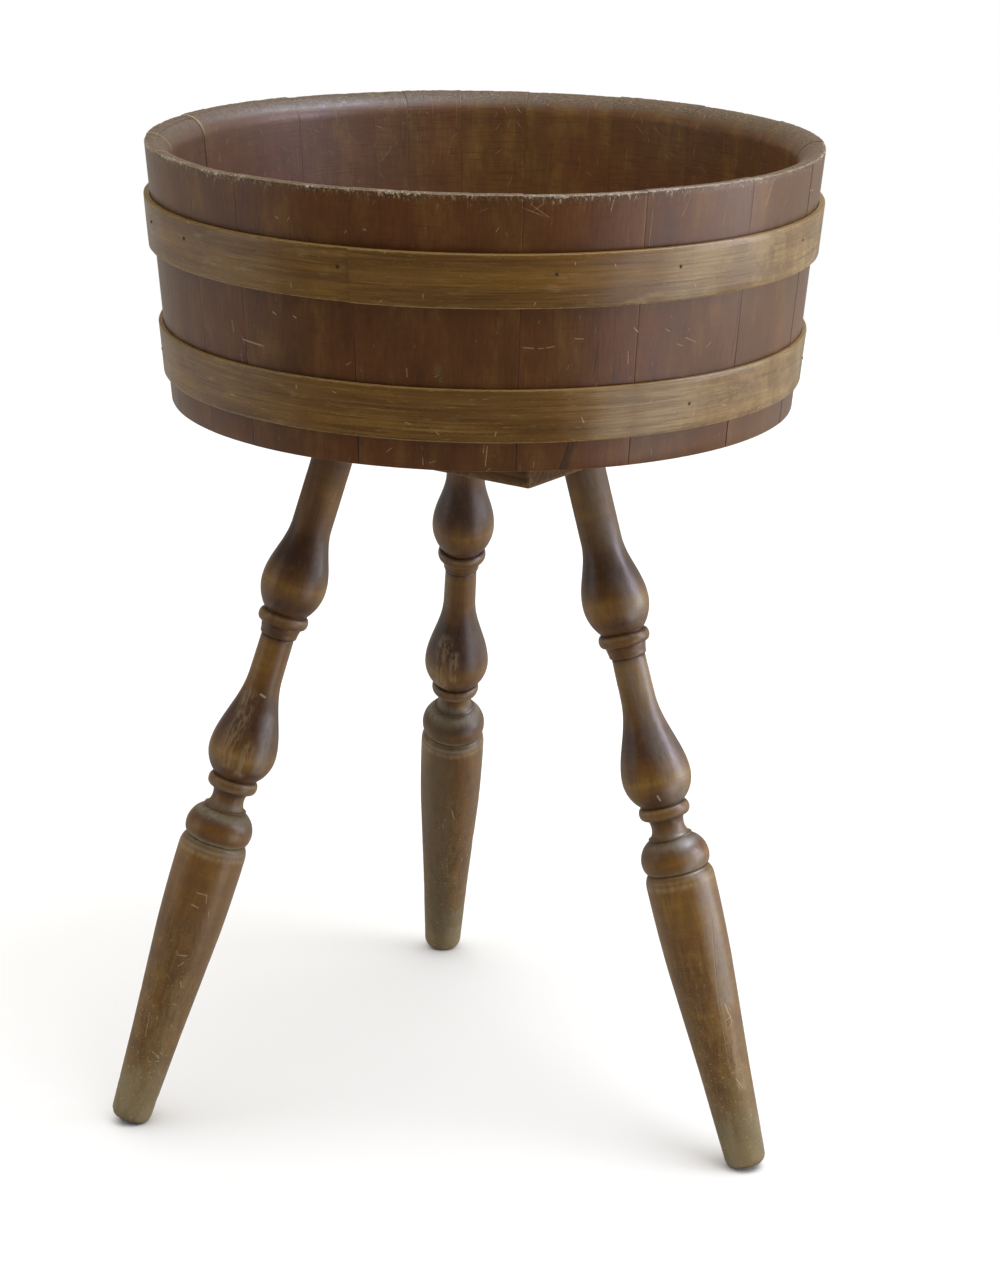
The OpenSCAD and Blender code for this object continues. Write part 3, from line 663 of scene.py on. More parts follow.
def makeHoopMaterial():
    material, tree, shader = newMaterial("hoopVarnish")
    finish = hoopFinish
    grain = attribute(tree, "grain").outputs["Vector"]
    fromEdge, fromEnd, level = split(tree, attribute(tree, "edge").outputs["Vector"])
    place = objectPlace(tree)
    own = stretch(tree, place, (1, 1, 1), (-tub["axisX"], -tub["axisY"], 0))

    streak = cloud(tree, stretch(tree, grain, (0.022, 1, 1)), 760, 5, 0.62)
    fineStreak = cloud(tree, stretch(tree, grain, (0.012, 1, 1)), 2600, 3, 0.6)
    bands = cloud(tree, stretch(tree, grain, (0.06, 1, 1), (4, 2, 1)), 130, 4, 0.55)
    mottle = cloud(tree, stretch(tree, grain, (0.30, 1, 1)), 80, 5, 0.70)
    sheen = cloud(tree, stretch(tree, grain, (1, 1, 0.3), (7, 1, 2)), 30, 3, 0.5)

    color = tint(tree, spread(tree, bands, 0.36, 0.64), finish["gold"], finish["brown"])
    color = tint(tree, spread(tree, sheen, 0.42, 0.66, 0.0, 0.5), color, finish["brown"])
    color = tint(tree, spread(tree, streak, 0.49, 0.70, 0.0, 0.68), color, finish["line"])
    color = tint(tree, spread(tree, streak, 0.47, 0.25, 0.0, 0.34), color, finish["pale"])
    color = tint(tree, spread(tree, fineStreak, 0.5, 0.72, 0.0, 0.45), color, finish["line"])
    blotch = spread(tree, mottle, 0.55, 0.72, 0.0, 0.62)
    combed = spread(tree, fineStreak, 0.56, 0.40, 0.35, 1.0)
    color = tint(tree, product(tree, blotch, combed), color, finish["pale"])
    color = tint(tree, spread(tree, mottle, 0.42, 0.25, 0.0, 0.35), color, finish["line"])
    # painted light: the hoops' right side is painted paler, standing in for the window light falling on it
    litSideMask = spread(tree, split(tree, own)[0], 0.055, 0.200)
    litSidePatches = spread(tree, cloud(tree, stretch(tree, grain, (0.8, 1, 0.6), (1, 0, 5)), 70, 5, 0.7), 0.42, 0.62, 0.12, 0.80)
    color = tint(tree, product(tree, litSideMask, litSidePatches, combed), color, finish["paintedWindowLight"])

    # painted highlight: upright pale patches where the window glints on the hoops
    paintedHoopGlint = product(tree, strokeMask(tree, place, hoopGlintStrokes()), spread(tree, streak, 0.62, 0.40, 0.05, 0.30))
    color = tint(tree, paintedHoopGlint, color, finish["sheen"])

    # both edges are rubbed pale
    ragged = cloud(tree, stretch(tree, grain, (0.4, 1, 1)), 600, 4, 0.65)
    raggedEdge = calc(tree, "ADD", fromEdge, calc(tree, "MULTIPLY_ADD", ragged, 0.003, -0.0015))
    worn = product(tree, spread(tree, raggedEdge, 0.0009, 0.0001), spread(tree, ragged, 0.35, 0.6, 0.35, 0.8))
    color = tint(tree, worn, color, finish["pale"])
    nicks = calc(tree, "MULTIPLY", nickMask(tree, own, 0.022, 0.34, 0.0022, 0.00036, 1.5), 0.5)
    flecks = spread(tree, cloud(tree, stretch(tree, grain, (0.6, 1, 1)), 700, 4, 0.75), 0.66, 0.74, 0.0, 0.4)
    color = tint(tree, strongest(tree, nicks, flecks), color, finish["nick"])
    dashes = spread(tree, cloud(tree, stretch(tree, grain, (0.10, 1, 1), (3, 1, 4)), 1250, 2, 0.5), 0.66, 0.72, 0.0, 0.42)
    color = tint(tree, dashes, color, finish["pale"])
    # the iron has stained the wood round each tack
    halo = calc(tree, "MULTIPLY", strokeMask(tree, place, tackHalos()), 0.22)
    color = tint(tree, halo, color, finish["soil"])
    tree.links.new(color, shader.inputs["Base Color"])

    rough = calc(tree, "MULTIPLY_ADD", mottle, 0.24, finish["gloss"] - 0.08)
    rough = calc(tree, "MULTIPLY_ADD", worn, 0.2, rough)
    tree.links.new(rough, shader.inputs["Roughness"])
    shader.inputs["Specular IOR Level"].default_value = 0.37
    height = calc(tree, "MULTIPLY_ADD", streak, 0.55, calc(tree, "MULTIPLY", fineStreak, 0.3))
    height = calc(tree, "MULTIPLY_ADD", nicks, -1.2, height)
    relief(tree, shader, height, 0.0002, 0.8)
    return material


def makeHoop(hoop, material):
    shape = hoopShape
    width = shape["width"]
    thickness = hoop["thickness"]
    round360 = 360 + shape["lapArc"]
    radius = outerRadius(hoop["low"] + width / 2)
    length = math.radians(round360) * radius
    bm = bmesh.new()
    bmesh.ops.create_cube(bm, size=1.0)
    bmesh.ops.scale(bm, vec=(length, thickness, width), verts=bm.verts)
    bmesh.ops.translate(bm, vec=(length / 2, thickness / 2, width / 2), verts=bm.verts)

    def isLong(edge):
        return abs(edge.verts[0].co.x - edge.verts[1].co.x) > length / 2

    outer = [edge for edge in bm.edges if isLong(edge) and edge.verts[0].co.y > thickness / 2]
    softenEdges(bm, outer, shape["edgeRound"], 3)
    upright = [edge for edge in bm.edges if abs(edge.verts[0].co.z - edge.verts[1].co.z) > width / 2]
    bmesh.ops.subdivide_edges(bm, edges=upright, cuts=8, use_grid_fill=True)
    lengthwise = [edge for edge in bm.edges if isLong(edge)]
    bmesh.ops.subdivide_edges(bm, edges=lengthwise, cuts=int(length / shape["step"]), use_grid_fill=True)
    bmesh.ops.recalc_face_normals(bm, faces=bm.faces)

    grainLayer = bm.verts.layers.float_vector.new("grain")
    edgeLayer = bm.verts.layers.float_vector.new("edge")
    seed = hoop["seed"]
    for vert in bm.verts:
        along, depth, level = vert.co
        bend = along / length * round360
        under = 0.0
        thick = thickness
        if bend > 360:
            # the inner end thins out below the lap
            share = (bend - 360) / shape["lapArc"]
            thick = thickness + (shape["feather"] - thickness) * share
        elif bend < shape["lapArc"]:
            # the outer end lies on top of it and thins out too
            share = 1 - bend / shape["lapArc"]
            under = shape["feather"] + (thickness - shape["feather"]) * share
            total = thickness + shape["lapEnd"] * smooth(share, 0.0, 0.8)
            thick = total - under - 0.00005
            under += 0.00005
        wave = noise.noise(Vector((along * 9, seed, 0.3)))
        ripple = noise.noise(Vector((along * 60, seed, level * 40)))
        edgeWave = shape["waviness"] * (0.5 + 0.5 * wave) * (1 if level < width / 2 else -1)
        height = hoop["low"] + level + edgeWave
        nibble = 0.00018 * (1 + ripple) * (depth / thickness)
        reach = outerRadius(height) + shape["clearance"] + under + depth / thickness * thick - nibble
        vert.co = aroundTub(reach, hoop["lapTurn"] + bend, height)
        vert[grainLayer] = Vector((along + seed, depth, level + seed))
        vert[edgeLayer] = Vector((min(level, width - level), min(along, length - along), level / width))
    return finishPiece(hoop["name"], bm, material, [hoop["node"]])


hoopMaterial = makeHoopMaterial()
for hoop in (upperHoop, lowerHoop):
    makeHoop(hoop, hoopMaterial)
print("hoops bent")


# Tacks

ironFinish = {
    "dark": (0.034, 0.020, 0.011),
    "rust": (0.090, 0.044, 0.017),
}


def makeIronMaterial():
    material, tree, shader = newMaterial("tackIron")
    place = objectPlace(tree)
    grime = cloud(tree, place, 900, 4, 0.6)
    tree.links.new(
        tint(tree, spread(tree, grime, 0.45, 0.7), ironFinish["dark"], ironFinish["rust"]),
        shader.inputs["Base Color"],
    )
    shader.inputs["Metallic"].default_value = 0.35
    tree.links.new(spread(tree, grime, 0.3, 0.7, 0.45, 0.75), shader.inputs["Roughness"])
    relief(tree, shader, grime, 0.0002, 0.6)
    return material


def makeTacks(name, turns, hoop, rise, material):
    bm = bmesh.new()
    lean = math.atan((tub["rimRadius"] - tub["chimeRadius"]) / tub["height"])
    luck = random.Random(len(turns))
    for turn in turns:
        height = hoop["low"] + rise
        face = outerRadius(height) + hoopShape["clearance"] + hoop["thickness"]
        away = Matrix.Rotation(math.radians(turn), 4, "Z") @ Matrix.Rotation(math.pi / 2 + lean, 4, "Y")
        seat = Matrix.Translation(aroundTub(face, turn, height)) @ away
        head = bmesh.ops.create_uvsphere(bm, u_segments=18, v_segments=12, radius=tack["headRadius"])["verts"]
        flatness = tack["headHeight"] / tack["headRadius"]
        for vert in head:
            # a low dome with hammered unevenness on a flat underside
            vert.co.z = max(0.0, vert.co.z) * flatness * luck.uniform(0.93, 1.0) - 0.00012
        shank = bmesh.ops.create_cone(
            bm, cap_ends=True, segments=10, radius1=0.0002, radius2=tack["shankRadius"], depth=tack["shankLength"]
        )["verts"]
        bmesh.ops.translate(bm, vec=(0, 0, -tack["shankLength"] / 2), verts=shank)
        bmesh.ops.transform(bm, matrix=seat, verts=head + shank)
    bmesh.ops.remove_doubles(bm, verts=bm.verts, dist=1e-7)
    bmesh.ops.recalc_face_normals(bm, faces=bm.faces)
    return finishPiece(name, bm, material, [hoop["node"] + "_tacks"])


ironMaterial = makeIronMaterial()
makeTacks("upperHoopTackHeads", tack["upperTurns"], upperHoop, tack["upperRise"], ironMaterial)
makeTacks("lowerHoopTackHeads", tack["lowerTurns"], lowerHoop, tack["lowerRise"], ironMaterial)
print("tacks driven")


# Legs

leg = {
    "boardUnderside": 0.4775,
    "socketDepth": 0.026,
    "endGap": 0.0005,
    "tipBevel": 0.0015,
    "footRadius": 0.0138,
    "footRound": 0.0065,
    "footFlat": 0.0009,
    "endRadius": 0.0135,
    "roundSteps": 84,
    "lengthStep": 0.0016,
    "legs": {
        # socket's distance and turn from the tub's axis, turn of the lean, lean from upright
        "left_leg": (0.093, 192.6, 199.4, 17.7),
        "right_leg": (0.081, 320.5, 328.4, 16.7),
        "back_leg": (0.087, 95.6, 96.4, 17.8),
    },
}
# Distance along the leg in millimetres and how dark it is painted there, 0 pale to 1 dark: partly the stain, partly
# painted shade and light on the turned bulbs
legStainAndShade = (
    (0, 0.30), (60, 0.42), (140, 0.44), (186, 0.40), (199, 0.36), (203, 0.40), (209, 0.50), (213, 0.55),
    (218, 0.40), (224, 0.62), (230, 0.72), (234, 0.60), (240, 0.45), (245, 0.70), (249, 0.42), (253, 0.5),
    (255, 0.72), (261, 0.66), (267, 0.42), (273, 0.27), (280, 0.55), (293, 0.80), (308, 0.74), (322, 0.48),
    (336, 0.34), (350, 0.36), (354, 0.62), (360, 0.58), (363, 0.62), (367, 0.42), (371, 0.66), (379, 0.70),
    (386, 0.40), (393, 0.26), (400, 0.55), (412, 0.78), (426, 0.70), (440, 0.46), (455, 0.36), (475, 0.54),
    (515, 0.62),
)
legGrooves = (231, 245.5, 254.3, 354.4, 362.8, 371.7)
legFinish = {
    "gold": (0.235, 0.124, 0.0165),
    "amber": (0.142, 0.063, 0.0100),
    "dark": (0.054, 0.0235, 0.0140),
    "worn": (0.290, 0.200, 0.100),
    "dust": (0.178, 0.122, 0.036),
    "hollowDust": (0.215, 0.180, 0.110),
    "paintedSheen": (0.250, 0.230, 0.200),
    "foot": (0.205, 0.162, 0.084),
    "olive": (0.100, 0.072, 0.032),
    "nick": (0.42, 0.33, 0.19),
    "soil": (0.030, 0.017, 0.009),
    "gloss": 0.33,
}
# Where dust has settled: distance along the leg, spread both ways, strength, in millimetres
legDust = ((209.8, 1.9, 0.95), (205.2, 1.1, 0.80), (229.0, 3.0, 0.90), (235.0, 3.0, 0.50), (247.5, 2.0, 0.35))
legTone = {"left_leg": 0.07, "right_leg": 0.03, "back_leg": 0.14}  # how much darker than the others
legDustShare = {"left_leg": 0.95, "right_leg": 0.55, "back_leg": 1.0}


def quarterRise(startS, startR, endS, endR, count=12):
    # leaves steeply and arrives flat
    turns = [math.pi / 2 * k / count for k in range(count + 1)]
    return [(startR + (endR - startR) * math.sin(a), startS + (endS - startS) * (1 - math.cos(a))) for a in turns]


def quarterFall(startS, startR, endS, endR, count=12):
    # leaves flat and arrives steeply
    turns = [math.pi / 2 * k / count for k in range(1, count + 1)]
    return [(endR + (startR - endR) * math.cos(a), startS + (endS - startS) * math.sin(a)) for a in turns]


def bowUp(startS, startR, endS, endR, count=14):
    # arc of a circle that is flat at its end
    run = endS - startS
    rise = endR - startR
    bowRadius = (run * run + rise * rise) / (2 * rise)
    first = math.asin(run / bowRadius)
    turns = [first * (1 - k / count) for k in range(count + 1)]
    return [(endR - bowRadius * (1 - math.cos(a)), endS - bowRadius * math.sin(a)) for a in turns]


def bowDown(startS, startR, endS, endR, count=14):
    mirrored = bowUp(0, endR, endS - startS, startR, count)
    return [(radius, endS - along) for radius, along in reversed(mirrored[:-1])]


def swell(startS, startR, endS, endR, count=14):
    parts = [k / count for k in range(1, count + 1)]
    return [(endR - (endR - startR) * (1 - t) * (1 - t), startS + (endS - startS) * t) for t in parts]


def ogee(startS, startR, endS, endR, skew=1.0, count=30):
    parts = [k / count for k in range(1, count + 1)]
    return [
        (startR + (endR - startR) * (1 - math.cos(math.pi * t ** skew)) / 2, startS + (endS - startS) * t)
        for t in parts
    ]


def halfRound(startS, length, edgeR, middleR, turn=180, count=16):
    turns = [math.radians(turn) * k / count for k in range(count + 1)]
    whole = 1 - math.cos(math.radians(turn))
    return [(edgeR + (middleR - edgeR) * math.sin(a), startS + length * (1 - math.cos(a)) / whole) for a in turns]


def legOutline(splay):
    # radius and distance along the leg, in metres, from the square foot to the end in the socket
    lean = math.radians(splay)
    slim = leg["footRadius"] - leg["footRound"]
    sole = (slim * math.sin(lean) + leg["footRound"] * (1 - math.cos(lean)) - leg["footFlat"]) / math.cos(lean)
    tip = leg["boardUnderside"] / math.cos(lean) + leg["socketDepth"] - leg["endGap"]
    turned = [(17.0, 70), (21.8, 144)] + swell(144, 21.8, 200, 23.1) + quarterFall(200, 23.1, 209, 19.4)
    turned += quarterRise(209.5, 19.4, 217, 22.8) + bowDown(217, 22.8, 231, 14.5)
    turned += [(14.0, 231.4), (14.5, 231.8)]
    turned += halfRound(232.5, 13, 14.5, 11.0, 150) + halfRound(245.5, 8.5, 14.4, 17.0)
    turned += bowUp(254.5, 14.4, 273, 23.0) + ogee(273, 23.0, 328, 11.5, 0.93)
    turned += [(11.2, 354), (10.8, 354.4)] + quarterRise(354.8, 11.2, 356.5, 12.5, 5)
    turned += ogee(356.5, 12.5, 363, 13.5, count=8) + halfRound(363, 8.5, 14.4, 17.0)
    turned += bowUp(372, 14.4, 392, 21.9) + ogee(392, 21.9, 433, 13.5)
    points = [(0.0, sole)] + quarterRise(sole, slim, sole + leg["footRound"], leg["footRadius"], 8)
    points += [(radius / 1000, along / 1000) for radius, along in turned]
    points += [(leg["endRadius"], tip - leg["tipBevel"]), (leg["endRadius"] - leg["tipBevel"], tip), (0.0, tip)]
    return points


def legPlace(name):
    # the leg's own frame: zero at the floor, z up along the leg
    socketR, socketTurn, leanTurn, splay = leg["legs"][name]
    return (
        Matrix.Translation((tub["axisX"], tub["axisY"], 0))
        @ Matrix.Rotation(math.radians(socketTurn), 4, "Z")
        @ Matrix.Translation((socketR, 0, 0))
        @ Matrix.Rotation(math.radians(leanTurn - socketTurn), 4, "Z")
        @ Matrix.Translation((leg["boardUnderside"] * math.tan(math.radians(splay)), 0, 0))
        @ Matrix.Rotation(math.radians(-splay), 4, "Y")
    )


def stainAndShadeAt(along):
    for (low, first), (high, second) in zip(legStainAndShade, legStainAndShade[1:]):
        if along <= high:
            return first + (second - first) * max(0.0, (along - low) / (high - low))
    return legStainAndShade[-1][1]


def onLeg(name, along, aside):
    # a point on the leg's surface, aside from -1 at the left to 1 at the right as the viewer of the photo sees it
    place = legPlace(name)
    viewer = place.inverted() @ Vector(camera["place"])
    turn = math.atan2(viewer.y, viewer.x) + math.asin(aside)
    outline = legOutline(leg["legs"][name][3])
    for (radius, low), (nextRadius, high) in zip(outline, outline[1:]):
        if low <= along / 1000 <= high:
            share = (along / 1000 - low) / max(1e-9, high - low)
            radius += (nextRadius - radius) * share
            return place @ Vector((radius * math.cos(turn), radius * math.sin(turn), along / 1000))
    raise ValueError("no such place on the leg")


def onLegs(marks):
    return [
        (onLeg(name, along, aside), onLeg(name, endAlong, endAside), halfWidth / 1000)
        for name, along, aside, endAlong, endAside, halfWidth in marks
    ]


# Scratches: leg, place along and aside of both ends, half width in millimetres
legScratches = (
    ("left_leg", 176, -0.05, 176, 0.25, 0.45), ("left_leg", 176, 0.25, 170, 0.30, 0.40),
    ("left_leg", 167, -0.10, 166, 0.12, 0.45), ("left_leg", 165, 0.45, 160, 0.52, 0.40),
    ("left_leg", 130, -0.05, 131, 0.25, 0.45), ("left_leg", 126, 0.20, 122, 0.05, 0.40),
    ("left_leg", 112, 0.30, 108, 0.38, 0.50), ("left_leg", 84, -0.45, 66, -0.35, 0.40),
    ("left_leg", 58, 0.10, 54, 0.45, 0.50), ("left_leg", 50, 0.05, 52, 0.50, 0.40),
    ("left_leg", 316, 0.05, 315, 0.30, 1.20),
    ("right_leg", 118, 0.50, 104, 0.62, 0.55), ("right_leg", 106, 0.40, 108, 0.62, 0.45),
    ("right_leg", 100, 0.45, 103, 0.60, 0.45), ("right_leg", 70, 0.20, 71, 0.62, 0.40),
    ("right_leg", 66, 0.35, 58, 0.55, 0.40), ("right_leg", 264, -0.10, 260, -0.05, 0.9),
    ("back_leg", 150, 0.10, 141, 0.20, 0.40), ("back_leg", 98, -0.20, 90, -0.15, 0.40),
)
legCrack = (
    ("right_leg", 176, 0.62, 150, 0.45, 0.42), ("right_leg", 150, 0.45, 118, 0.30, 0.42),
    ("right_leg", 118, 0.30, 78, 0.22, 0.36),
)
legScuffs = (
    ("left_leg", 312, -0.45, 268, -0.35, 9.0), ("left_leg", 282, 0.15, 262, 0.10, 6.0),
    ("back_leg", 298, -0.50, 262, -0.50, 9.0), ("back_leg", 290, -0.10, 272, -0.05, 6.0),
    ("right_leg", 112, 0.5, 60, 0.5, 5.5),
)
legHaze = (
    ("back_leg", 192, -0.45, 12, -0.35, 17.0), ("left_leg", 110, 0.45, 20, 0.30, 11.0),
    ("right_leg", 70, 0.45, 10, 0.45, 14.0),
)
# Where the varnish has gone olive
legDull = (
    ("back_leg", 196, -0.40, 30, -0.30, 15.0), ("back_leg", 228, -0.40, 214, -0.40, 10.0),
)
# Painted sheen: bluish highlights of the window light painted on the varnish
legSheenStrokes = (
    ("right_leg", 498, 0.55, 405, 0.55, 17.0), ("right_leg", 402, 0.55, 388, 0.60, 15.0),
    ("right_leg", 345, 0.50, 262, 0.60, 16.0),
    ("right_leg", 232, 0.50, 212, 0.50, 12.0), ("left_leg", 300, 0.60, 268, 0.65, 8.0),
    ("right_leg", 200, 0.60, 120, 0.60, 11.0),
)


def makeLegMaterial():
    material, tree, shader = newMaterial("legStainAndShade")
    finish = legFinish
    grain = attribute(tree, "grain").outputs["Vector"]
    own = attribute(tree, "own").outputs["Vector"]
    stain, settled, rubbed = split(tree, attribute(tree, "finish").outputs["Vector"])
    soil = calc(tree, "MAXIMUM", settled, 0.0)
    hollowDust = calc(tree, "MAXIMUM", calc(tree, "MULTIPLY", settled, -1.0), 0.0)
    x, y, along = split(tree, own)
    place = objectPlace(tree)

    streak = cloud(tree, stretch(tree, grain, (1, 1, 0.05)), 520, 5, 0.62)
    fineStreak = cloud(tree, stretch(tree, grain, (1, 1, 0.02)), 2100, 3, 0.6)
    patches = cloud(tree, stretch(tree, grain, (1, 1, 0.45)), 85, 5, 0.62)
    lathe = cloud(tree, stretch(tree, own, (0.06, 0.06, 1)), 1100, 3, 0.6)
    coarse = cloud(tree, stretch(tree, own, (0.12, 0.12, 1), (0, 0, 3)), 260, 3, 0.6)
    speck = cloud(tree, own, 1300, 4, 0.72)

    uneven = calc(tree, "MULTIPLY_ADD", patches, 0.62, -0.31)
    uneven = calc(tree, "ADD", uneven, calc(tree, "MULTIPLY_ADD", coarse, 0.26, -0.13))
    # the stain depth also carries painted shade and light from the table along the leg
    depth = calc(tree, "ADD", stain, uneven)
    color = tint(tree, spread(tree, depth, 0.16, 0.50), finish["gold"], finish["amber"])
    color = tint(tree, spread(tree, depth, 0.40, 0.92), color, finish["dark"])
    color = tint(tree, spread(tree, streak, 0.48, 0.74, 0.0, 0.34), color, finish["dark"])
    color = tint(tree, spread(tree, streak, 0.46, 0.24, 0.0, 0.26), color, finish["gold"])
    color = tint(tree, spread(tree, fineStreak, 0.5, 0.72, 0.0, 0.28), color, finish["dark"])
    color = tint(tree, spread(tree, lathe, 0.5, 0.72, 0.0, 0.22), color, finish["dark"])

    # dust and scuffs thicken towards the floor, and the foot is worn grey
    scuff = cloud(tree, stretch(tree, grain, (1, 1, 0.34), (2, 3, 1)), 270, 5, 0.74)
    low = spread(tree, along, 0.215, 0.03)
    dusty = product(tree, spread(tree, scuff, 0.45, 0.60), calc(tree, "MULTIPLY_ADD", low, 0.50, 0.05))
    color = tint(tree, dusty, color, finish["dust"])
    grime = product(tree, spread(tree, scuff, 0.45, 0.33), low, 0.55)
    color = tint(tree, grime, color, finish["dark"])
    footEdge = calc(tree, "ADD", along, calc(tree, "MULTIPLY_ADD", scuff, 0.110, -0.055))
    foot = product(tree, spread(tree, footEdge, 0.052, 0.026), spread(tree, speck, 0.32, 0.60, 0.50, 0.92))
    color = tint(tree, foot, color, finish["foot"])
    oily = product(tree, spread(tree, patches, 0.46, 0.62), spread(tree, along, 0.075, 0.015), 0.42)
    color = tint(tree, oily, color, finish["olive"])
    haze = product(tree, strokeMask(tree, place, onLegs(legHaze)), spread(tree, scuff, 0.34, 0.66, 0.10, 0.48))
    color = tint(tree, haze, color, finish["dust"])
    dull = product(tree, strokeMask(tree, place, onLegs(legDull)), spread(tree, scuff, 0.30, 0.66, 0.22, 0.70))
    color = tint(tree, dull, color, finish["olive"])
    hollow = product(tree, hollowDust, spread(tree, scuff, 0.30, 0.60, 0.45, 1.0))
    color = tint(tree, hollow, color, finish["hollowDust"])
    # painted highlight: a broad bluish sheen of the window light on the legs
    paintedSheen = product(tree, strokeMask(tree, place, onLegs(legSheenStrokes)), spread(tree, scuff, 0.30, 0.70, 0.20, 0.38))
    color = tint(tree, paintedSheen, color, finish["paintedSheen"])
    sole = spread(tree, calc(tree, "MULTIPLY_ADD", speck, 0.006, along), 0.009, 0.004, 0.0, 0.7)
    color = tint(tree, sole, color, finish["soil"])

    # edges rubbed pale, grooves darker
    rub = product(tree, rubbed, spread(tree, scuff, 0.32, 0.62, 0.20, 1.0))
    color = tint(tree, rub, color, finish["worn"])
    patch = product(tree, strokeMask(tree, place, onLegs(legScuffs)), spread(tree, streak, 0.38, 0.56))
    patch = product(tree, patch, spread(tree, scuff, 0.34, 0.52), 0.52)
    color = tint(tree, patch, color, finish["worn"])
    nicks = nickMask(tree, own, 0.015, 0.50, 0.0026, 0.00034, 1.5)
    nicks = product(tree, nicks, calc(tree, "MULTIPLY_ADD", low, 0.60, 0.10), spread(tree, scuff, 0.36, 0.58))
    shifted = stretch(tree, own, (1, 1, 1), (0, 0, 0.3))
    moreNicks = product(tree, nickMask(tree, shifted, 0.0065, 0.50, 0.0010, 0.00034, 1.5), low, 0.60)
    flecks = product(tree, spread(tree, speck, 0.59, 0.69), calc(tree, "MULTIPLY_ADD", low, 0.50, 0.14))
    ragging = spread(tree, cloud(tree, own, 1500, 2, 0.6), 0.3, 0.6, 0.3, 1.0)
    scratches = product(tree, strokeMask(tree, place, onLegs(legScratches)), ragging, 0.8)
    allNicks = strongest(tree, nicks, moreNicks, flecks, scratches)
    color = tint(tree, allNicks, color, finish["nick"])
    crack = strokeMask(tree, place, onLegs(legCrack))
    color = tint(tree, calc(tree, "MULTIPLY", crack, 0.55), color, finish["worn"])
    color = tint(tree, soil, color, finish["soil"])
    tree.links.new(color, shader.inputs["Base Color"])

    rough = calc(tree, "MULTIPLY_ADD", patches, 0.20, finish["gloss"] - 0.08)
    rough = calc(tree, "MULTIPLY_ADD", low, 0.10, rough)
    rough = calc(tree, "ADD", rough, spread(tree, along, 0.415, 0.460, 0.0, 0.26))
    rough = calc(tree, "MULTIPLY_ADD", strongest(tree, dusty, foot, hollow, haze, dull), 0.30, rough)
    tree.links.new(rough, shader.inputs["Roughness"])
    shader.inputs["Specular IOR Level"].default_value = 0.40
    height = calc(tree, "MULTIPLY_ADD", streak, 0.35, calc(tree, "MULTIPLY", fineStreak, 0.18))
    height = calc(tree, "MULTIPLY_ADD", lathe, 0.22, height)
    height = calc(tree, "MULTIPLY_ADD", strongest(tree, allNicks, crack), -1.2, height)
    relief(tree, shader, height, 0.0002, 0.8)
    return material


def makeLeg(name, pieceName, seed, material):
    splay = leg["legs"][name][3]
    bm = bmesh.new()
    outline = [bm.verts.new((radius, 0, along)) for radius, along in legOutline(splay)]
    for first, second in zip(outline, outline[1:]):
        bm.edges.new((first, second))
    cutEdges(bm, bm.edges[:], leg["lengthStep"])
    bmesh.ops.spin(
        bm, geom=bm.verts[:] + bm.edges[:], cent=(0, 0, 0), axis=(0, 0, 1), angle=2 * math.pi,
        steps=leg["roundSteps"], use_merge=True, use_duplicate=False,
    )
    closeShell(bm)
    grainLayer = bm.verts.layers.float_vector.new("grain")
    ownLayer = bm.verts.layers.float_vector.new("own")
    finishLayer = bm.verts.layers.float_vector.new("finish")
    luck = random.Random(seed)
    pith = Vector((0.062, 0.012 * seed, 0.3 * seed))
    spin = Matrix.Rotation(luck.uniform(0, 6), 3, "Z")
    for vert in bm.verts:
        own = vert.co.copy()
        along = own.z * 1000
        radius = math.hypot(own.x, own.y)
        vert[grainLayer] = spin @ own + pith
        vert[ownLayer] = own
        soil = max(math.exp(-((along - groove) / 0.8) ** 2) for groove in legGrooves)
        shoulder = math.exp(-((along - 201.5) / 1.8) ** 2)
        collars = max(math.exp(-((along - level) / 1.3) ** 2) for level in (252.4, 369.3))
        low = 1 - smooth(along, 60, 190)
        dust = max(share * math.exp(-((along - level) / reach) ** 2) for level, reach, share in legDust)
        settled = 0.20 * soil - legDustShare[name] * dust
        vert[finishLayer] = Vector((stainAndShadeAt(along) + legTone[name], settled, max(0.55 * shoulder, 0.45 * collars)))
        # not quite round, dented low down, chipped at the foot
        dent = max(0.0, noise.noise(own * 90 + Vector((seed, 0, 0))) - 0.25) * (0.3 + low)
        wave = noise.noise(Vector((own.x * 30, own.y * 30, own.z * 12 + seed)))
        footChip = max(0.0, noise.noise(own * 240 + Vector((0, seed, 0)))) * (1 - smooth(along, 4, 14))
        sink = 0.00010 * (1 + wave) + 0.0006 * dent + 0.0009 * footChip
        if radius > 0.004:
            factor = (radius - sink) / radius
            vert.co.x *= factor
            vert.co.y *= factor
    bmesh.ops.transform(bm, matrix=legPlace(name), verts=bm.verts)
    bmesh.ops.bisect_plane(
        bm, geom=bm.verts[:] + bm.edges[:] + bm.faces[:], plane_co=(0, 0, 0), plane_no=(0, 0, 1), clear_inner=True
    )
    closeShell(bm)
    return finishPiece(pieceName, bm, material, [name], 50)


legMaterial = makeLegMaterial()
makeLeg("left_leg", "leftLegTurned", 2, legMaterial)
makeLeg("right_leg", "rightLegTurned", 5, legMaterial)
makeLeg("back_leg", "backLegTurned", 9, legMaterial)
print("legs turned")


# Square board under the tub

board = {
    "side": 0.2545,
    "thickness": 0.034,
    "underside": 0.4775,
    "turn": -35,
    "middleX": 0.013,
    "middleY": -0.012,
    "cornerCut": 0.003,
    "lowBevel": 0.003,
    "topSoften": 0.0008,
    "socketClearance": 0.0001,
}
boardFinish = {
    "stain": (0.108, 0.050, 0.0160),
    "brown": (0.062, 0.028, 0.0100),
    "line": (0.020, 0.009, 0.0045),
    "pale": (0.190, 0.120, 0.052),
    "gloss": 0.65,
}


